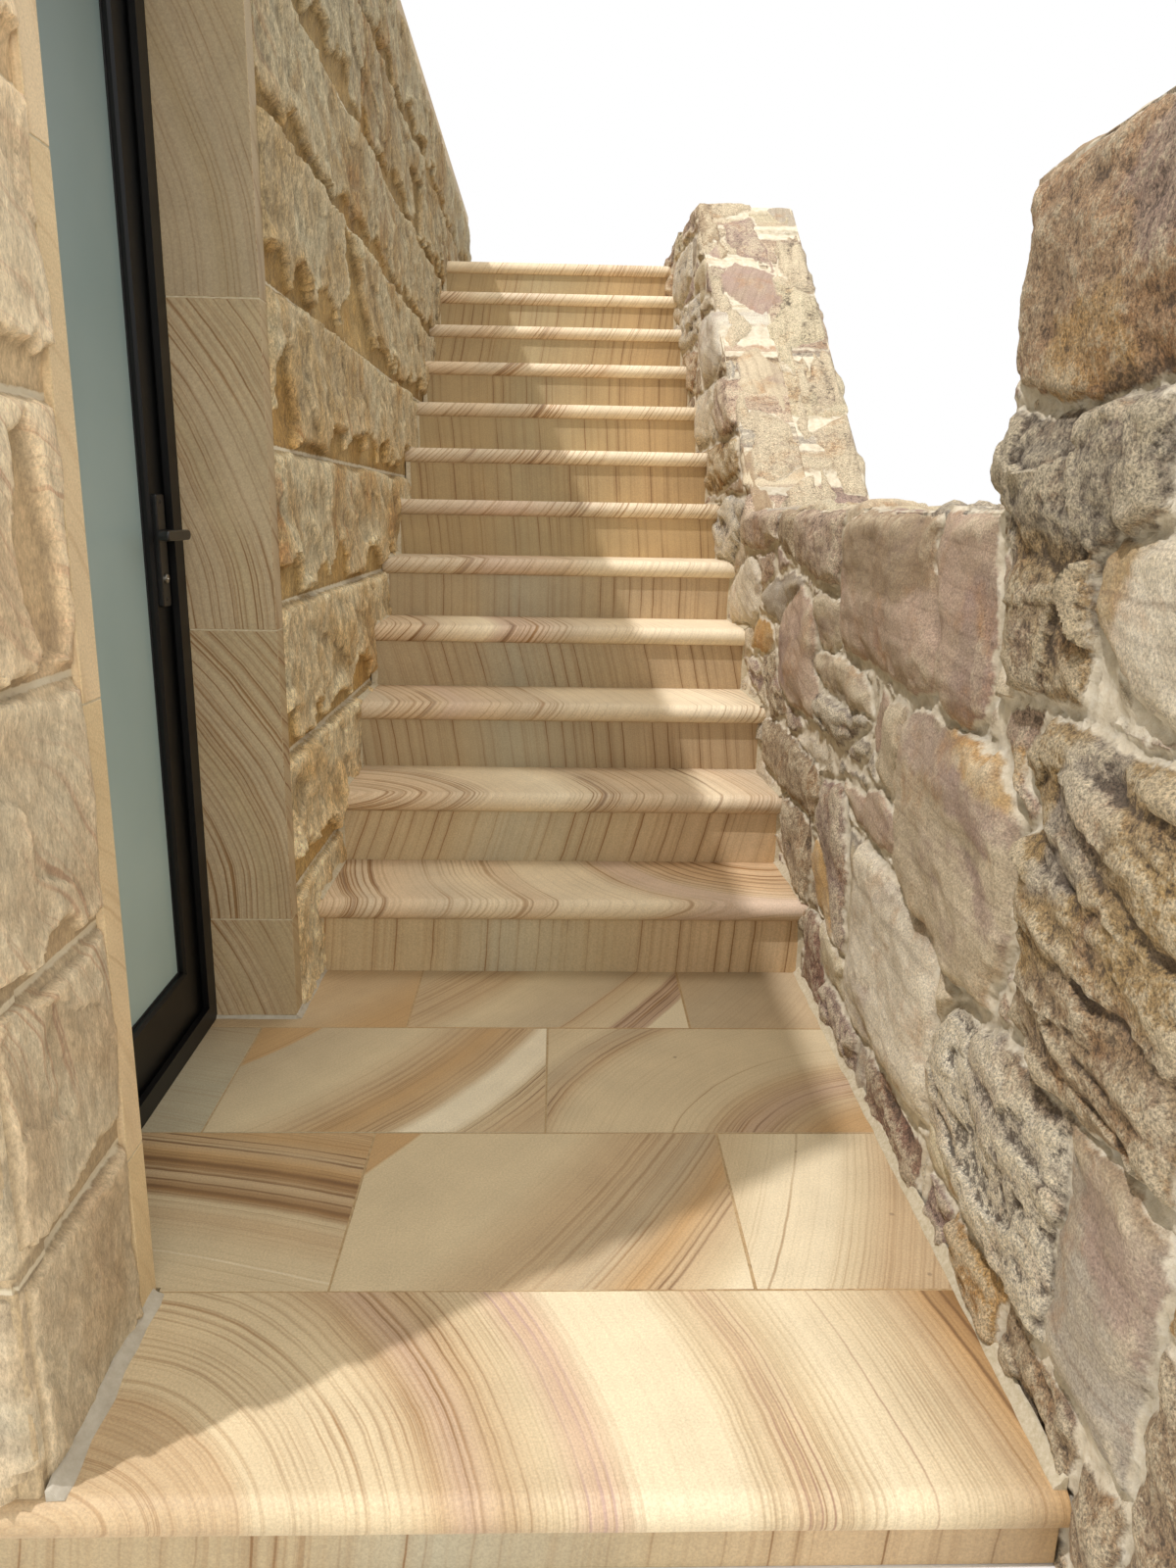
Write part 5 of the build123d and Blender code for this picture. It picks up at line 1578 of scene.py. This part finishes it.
def build_door_details(hardware):
    """Key cylinders, plate screws and the rubber gaskets round the glass."""
    steel = new_finish("satin_nickel_cylinder",
                       {"Base Color": "#a7a39a", "Metallic": 1.0, "Roughness": 0.32})[0]
    rubber = new_finish("black_glazing_rubber", {"Base Color": "#0f0f0f", "Roughness": 0.7})[0]
    glass_low, glass_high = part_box("door_glass")
    cylinder = ((0.0085, -0.003), (0.0085, 0.0030), (0.0078, 0.0038), (0.0026, 0.0038), (0.0020, 0.0020))
    screw = ((0.0040, -0.002), (0.0040, 0.0004), (0.0033, 0.0012), (0.0014, 0.0012), (0.0012, 0.0004))
    for name, side in (("outside", 1.0), ("inside", -1.0)):
        low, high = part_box("lock_plate_" + name)
        middle = (low[1] + high[1]) / 2.0
        face = high[0] if side > 0 else low[0]
        turned("key_cylinder_" + name, (face, middle, low[2] + 0.052), side, cylinder, steel)
        for number, z in enumerate((low[2] + 0.014, high[2] - 0.014)):
            turned("plate_screw_%s_%d" % (name, number + 1), (face, middle, z), side, screw, hardware)
    width, lap, arris = 0.007, 0.0085, 0.0006
    y0, z0 = glass_low[1] + lap, glass_low[2] + lap
    y1, z1 = glass_high[1] - lap, glass_high[2] - lap
    for name, x0, x1 in (("outside", glass_high[0], glass_high[0] + 0.0025),
                         ("inside", glass_low[0] - 0.0025, glass_low[0])):
        between = rectangle(x0, x1, y0 + width, y1 - width)
        bars = [
            (rectangle(x0, x1, y0, y0 + width), z0, z1, arris),
            (rectangle(x0, x1, y1 - width, y1), z0, z1, arris),
            (between, z0, z0 + width, arris),
            (between, z1 - width, z1, arris),
        ]
        slab_object("glazing_gasket_" + name, bars, [rubber], body="door")


def build_cap():
    """Sawn coping slabs along the top of the coursed wall."""
    low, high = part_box("wall_cap")
    joints = [low[1], *COPING_JOINTS, high[1]]
    blocks, finishes = [], []
    for index, (y0, y1) in enumerate(zip(joints, joints[1:])):
        blocks.append((rectangle(low[0], high[0], y0 + 0.002, y1 - 0.002), low[2], high[2], 0.004))
        finishes.append(banded_sandstone(
            "sawn_coping_sandstone_%d" % (index + 1), (low[0] - 1.0, y0 - 1.5, high[2] - 0.3),
            (-0.7, 0.0, high[2]),
            ALONG, [(y0, SAND, 0.5), ((y0 + y1) / 2.0, FAWN, 0.6), (y1, SAND, 0.4)], seed=index * 2.1))
    slab_object("coping_slabs", blocks, finishes, ["wall_cap"])


def build_beds():
    """The mortar core under the flight and the bed under the landing."""
    bed = mortar_finish("coarse_bedding_mortar", "#b7ab94", "#8f836d", 26.0)
    for node in ("stair_core", "landing_base"):
        dress(node, bed)


# Mortar and sealant

BEAD_SECTION = ((-0.3, -0.15), (1.0, -0.05), (0.92, 0.16), (0.45, 0.42), (0.16, 0.80), (0.0, 1.0),
                (-0.3, 1.0))


def join_beads(name, beads, finish):
    """Hand-drawn fillets as one piece; each has two ends, two directions, width, height, seed and step."""
    points, faces = [], []
    for start, end, out, up, width, height, seed, step in beads:
        stations = max(2, int(math.dist(start, end) / step) + 1)
        fillet = swept(len(BEAD_SECTION), stations)
        faces += [tuple(corner + len(points) for corner in face) for face in fillet]
        for station in range(stations):
            swell = 1.0 + 0.25 * float(roll(np.array(station * 0.37), np.array(seed * 1.0), seed))
            place = [s + (e - s) * station / (stations - 1.0) for s, e in zip(start, end)]
            for far, high in BEAD_SECTION:
                points.append(tuple(p + (o * far * width + u * high * height) * swell
                                    for p, o, u in zip(place, out, up)))
    settle(mesh_object(name, points, faces, 60.0), finish)


def point_joints():
    """Grout between the slabs and pale sealant where they meet the walls."""
    grout = mortar_finish("tan_joint_grout", "#b9a078", "#94794f", 120.0)
    pale = mortar_finish("lime_joint_grout", "#cfc2a6", "#b3a483", 120.0)
    sealant = mortar_finish("pale_grey_sealant", "#bdb5a3", "#a59b88", 40.0)
    half, arris, right = 0.0018, 0.0002, 0.5655
    strips = [rectangle(-0.7395, right, y - half, y + half) for y in (-0.270, -0.670)]
    strips.append(rectangle(-0.565, right, -1.0720, -1.0680))
    strips += [rectangle(x - half, x + half, y0, y1) for x, y0, y1 in (
        (-0.331, -0.2685, 0.0515), (0.2695, -0.2685, 0.0515), (-0.633, -0.6685, -0.2715),
        (-0.033, -0.6685, -0.2715), (-0.331, -1.0685, -0.6715), (0.2695, -1.0685, -0.6715))]
    slab_object("flag_joint_grout", [(strip, 0.062, 0.1093, arris) for strip in strips], [grout])
    thin, half, sunk = [], 0.0014, 0.0007
    for y0, joints in ((NEAR_ROUGH, NEAR_JOINTS), (FAR_ROUGH - SLAB, FAR_JOINTS)):
        outline = rectangle(-0.7392, LEFT_FACE - sunk, y0 + sunk, y0 + SLAB - sunk)
        thin += [(outline, z - half, z + half, arris) for z in joints]
    low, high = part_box("wall_cap")
    half, sunk = 0.0025, 0.002
    for y in COPING_JOINTS:
        outline = rectangle(low[0] + sunk, high[0] - sunk, y - half, y + half)
        thin.append((outline, low[2] + 0.001, high[2] - sunk, arris))
    slab_object("lining_and_coping_grout", thin, [pale])
    deck, east, west, south = LANDING_TOP, OUTWARD["+x"], OUTWARD["-x"], OUTWARD["-y"]
    join_beads("landing_sealant", [
        ((-0.567, -1.398, deck), (-0.572, -1.075, deck), east, UP, 0.016, 0.012, 11, 0.02),
        ((-0.740, -0.227, deck), (-0.568, -0.227, deck), south, UP, 0.006, 0.006, 12, 0.02),
        ((-0.568, -0.230, deck), (-0.566, 0.020, deck), east, UP, 0.009, 0.009, 13, 0.02),
    ], sealant)
    beads = [((0.562, -1.395, deck), (0.562, 0.020, deck), west, UP, 0.012, 0.016, 14, 0.02)]
    for number in range(1, STEP_COUNT + 1):
        nose, back = (number - 1) * GOING, number * GOING + OVERHANG
        foot, top = LANDING_TOP + (number - 1) * RISE, LANDING_TOP + number * RISE
        face, head = nose + OVERHANG, top - SLAB
        x0, x1 = float(right_face(np.array(nose))), float(right_face(np.array(back)))
        beads += [
            ((-0.566, nose + 0.012, top), (-0.566, back, top), east, UP, 0.009, 0.009, 20 + number, 0.03),
            ((-0.572, face, foot), (-0.572, face, head), east, south, 0.012, 0.008, 60 + number, 0.03),
            ((x0, nose + 0.010, top), (x1, back, top), west, UP, 0.014, 0.014, 40 + number, 0.03),
            ((x0, face, foot), (x0, face, head), west, south, 0.014, 0.008, 80 + number, 0.03),
        ]
    join_beads("tread_end_mortar", beads, pale)


stand_camera()
light_up()
lay_floor()
build_coursed_wall()
build_rubble_wall()
build_flight()
build_landing()
build_doorway()
build_cap()
build_beds()
point_joints()

bpy.context.scene.view_settings.view_transform = "Standard"
